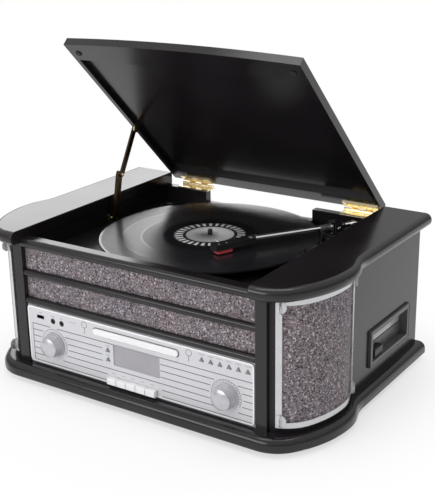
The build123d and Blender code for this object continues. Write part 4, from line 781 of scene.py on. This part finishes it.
def add_floor():
    """Pale floor that runs out far behind the object."""
    bpy.ops.mesh.primitive_plane_add(size=14, location=(0, 0, 0))
    floor = bpy.context.object
    floor.name = "floor"
    made, shader = new_material("pale_floor")
    link(made, ramp(made, noise(made, 3.0), (0.3, (0.90, 0.90, 0.90)), (0.7, (0.92, 0.92, 0.92))),
         shader.inputs["Base Color"])
    shader.inputs["Roughness"].default_value = 0.9
    shader.inputs["Specular IOR Level"].default_value = 0.1
    white = node(made, "ShaderNodeEmission", Strength=1.0)
    white.inputs["Color"].default_value = (1, 1, 1, 1)
    spot = node(made, "ShaderNodeVectorMath", operation="LENGTH")
    link(made, place_output(made), spot.inputs[0])
    far = node(made, "ShaderNodeMapRange", interpolation_type="SMOOTHSTEP")
    far.inputs["From Min"].default_value = SHADOW_NEAR
    far.inputs["From Max"].default_value = SHADOW_FAR
    far.inputs["To Min"].default_value = 0.55
    link(made, spot.outputs["Value"], far.inputs["Value"])
    path = node(made, "ShaderNodeLightPath")
    seen = node(made, "ShaderNodeMath", operation="MAXIMUM")
    link(made, path.outputs["Is Camera Ray"], seen.inputs[0])
    link(made, path.outputs["Is Glossy Ray"], seen.inputs[1])
    share = node(made, "ShaderNodeMath", operation="MULTIPLY")
    link(made, seen.outputs["Value"], share.inputs[0])
    link(made, far.outputs["Result"], share.inputs[1])
    mix = node(made, "ShaderNodeMixShader")
    link(made, share.outputs["Value"], mix.inputs["Fac"])
    link(made, shader.outputs["BSDF"], mix.inputs[1])
    link(made, white.outputs["Emission"], mix.inputs[2])
    link(made, mix.outputs["Shader"], made.node_tree.nodes["Material Output"].inputs["Surface"])
    floor.data.materials.append(made)


def add_lamp(name, place, target, size, power):
    """Soft rectangular lamp that looks at target."""
    data = bpy.data.lights.new(name, "AREA")
    data.shape = "RECTANGLE"
    data.size, data.size_y = size
    data.energy = power
    lamp = bpy.data.objects.new(name, data)
    bpy.context.scene.collection.objects.link(lamp)
    lamp.location = place
    lamp.rotation_euler = (Vector(target) - Vector(place)).to_track_quat("-Z", "Y").to_euler()
    return lamp


# Softboxes: name, place, target, width and height in metres, power in watts
LAMPS = (
    ("front_softbox", (-0.55, -1.9, 0.95), (0, 0, 0.12), (1.6, 0.7), 15.0),
    ("top_softbox", (0.1, -0.15, 1.7), (0, 0, 0.15), (1.5, 0.5), 8.0),
    ("rear_softbox", (-1.15, 1.25, 0.75), (-0.1, 0.0, 0.2), (1.1, 0.5), 4.5),
)

# Levels of the surroundings that light the object
WORLD_LOW = 0.30
WORLD_HIGH = 0.80
BACKDROP_SHARE = 1.0


def add_world():
    """White background for the camera; dimmer towards the horizon for the light on the object."""
    world = bpy.data.worlds.new("studio")
    bpy.context.scene.world = world
    world.use_nodes = True
    tree = world.node_tree
    back = tree.nodes["Background"]
    back.inputs["Color"].default_value = (1, 1, 1, 1)
    where = tree.nodes.new("ShaderNodeTexCoord")
    parts = tree.nodes.new("ShaderNodeSeparateXYZ")
    tree.links.new(where.outputs["Generated"], parts.inputs[0])
    dome = tree.nodes.new("ShaderNodeMapRange")
    dome.interpolation_type = "SMOOTHSTEP"
    dome.inputs["From Min"].default_value = 0.02
    dome.inputs["From Max"].default_value = 0.75
    dome.inputs["To Min"].default_value = WORLD_LOW
    dome.inputs["To Max"].default_value = WORLD_HIGH
    tree.links.new(parts.outputs["Z"], dome.inputs["Value"])
    path = tree.nodes.new("ShaderNodeLightPath")
    level = tree.nodes.new("ShaderNodeMix")
    tree.links.new(path.outputs["Is Camera Ray"], level.inputs["Factor"])
    tree.links.new(dome.outputs["Result"], level.inputs["A"])
    level.inputs["B"].default_value = BACKDROP_SHARE
    tree.links.new(level.outputs["Result"], back.inputs["Strength"])


# Camera as it stood in the photograph
CAMERA_PLACE = (0.7668, -1.1129, 0.6379)
CAMERA_BACK = Vector((0.52720, -0.78454, 0.32639))
CAMERA_ROLL = radians(-0.973)
CAMERA_LENS = 76.38


def add_camera():
    data = bpy.data.cameras.new("camera")
    data.lens = CAMERA_LENS
    data.sensor_width = 36.0
    data.sensor_fit = "AUTO"
    data.clip_start, data.clip_end = 0.05, 60.0
    camera = bpy.data.objects.new("camera", data)
    bpy.context.scene.collection.objects.link(camera)
    right = Vector((0, 0, 1)).cross(CAMERA_BACK).normalized()
    up = CAMERA_BACK.cross(right)
    rolled_right = right * cos(CAMERA_ROLL) + up * sin(CAMERA_ROLL)
    rolled_up = up * cos(CAMERA_ROLL) - right * sin(CAMERA_ROLL)
    turn = Matrix((rolled_right, rolled_up, CAMERA_BACK)).transposed().to_4x4()
    camera.matrix_world = Matrix.Translation(CAMERA_PLACE) @ turn
    bpy.context.scene.camera = camera


dress_nodes()
printed_lines()
knob_scales()
indicators()
label_marks()
record_label()
panel_rims()
tonearm_details()
stay_details()
speaker_corner_tabs()
knob_marks()
deck_details()
cassette_details()
add_floor()
add_world()
for lamp_values in LAMPS:
    add_lamp(*lamp_values)
add_camera()
bpy.context.scene.view_settings.view_transform = "Standard"
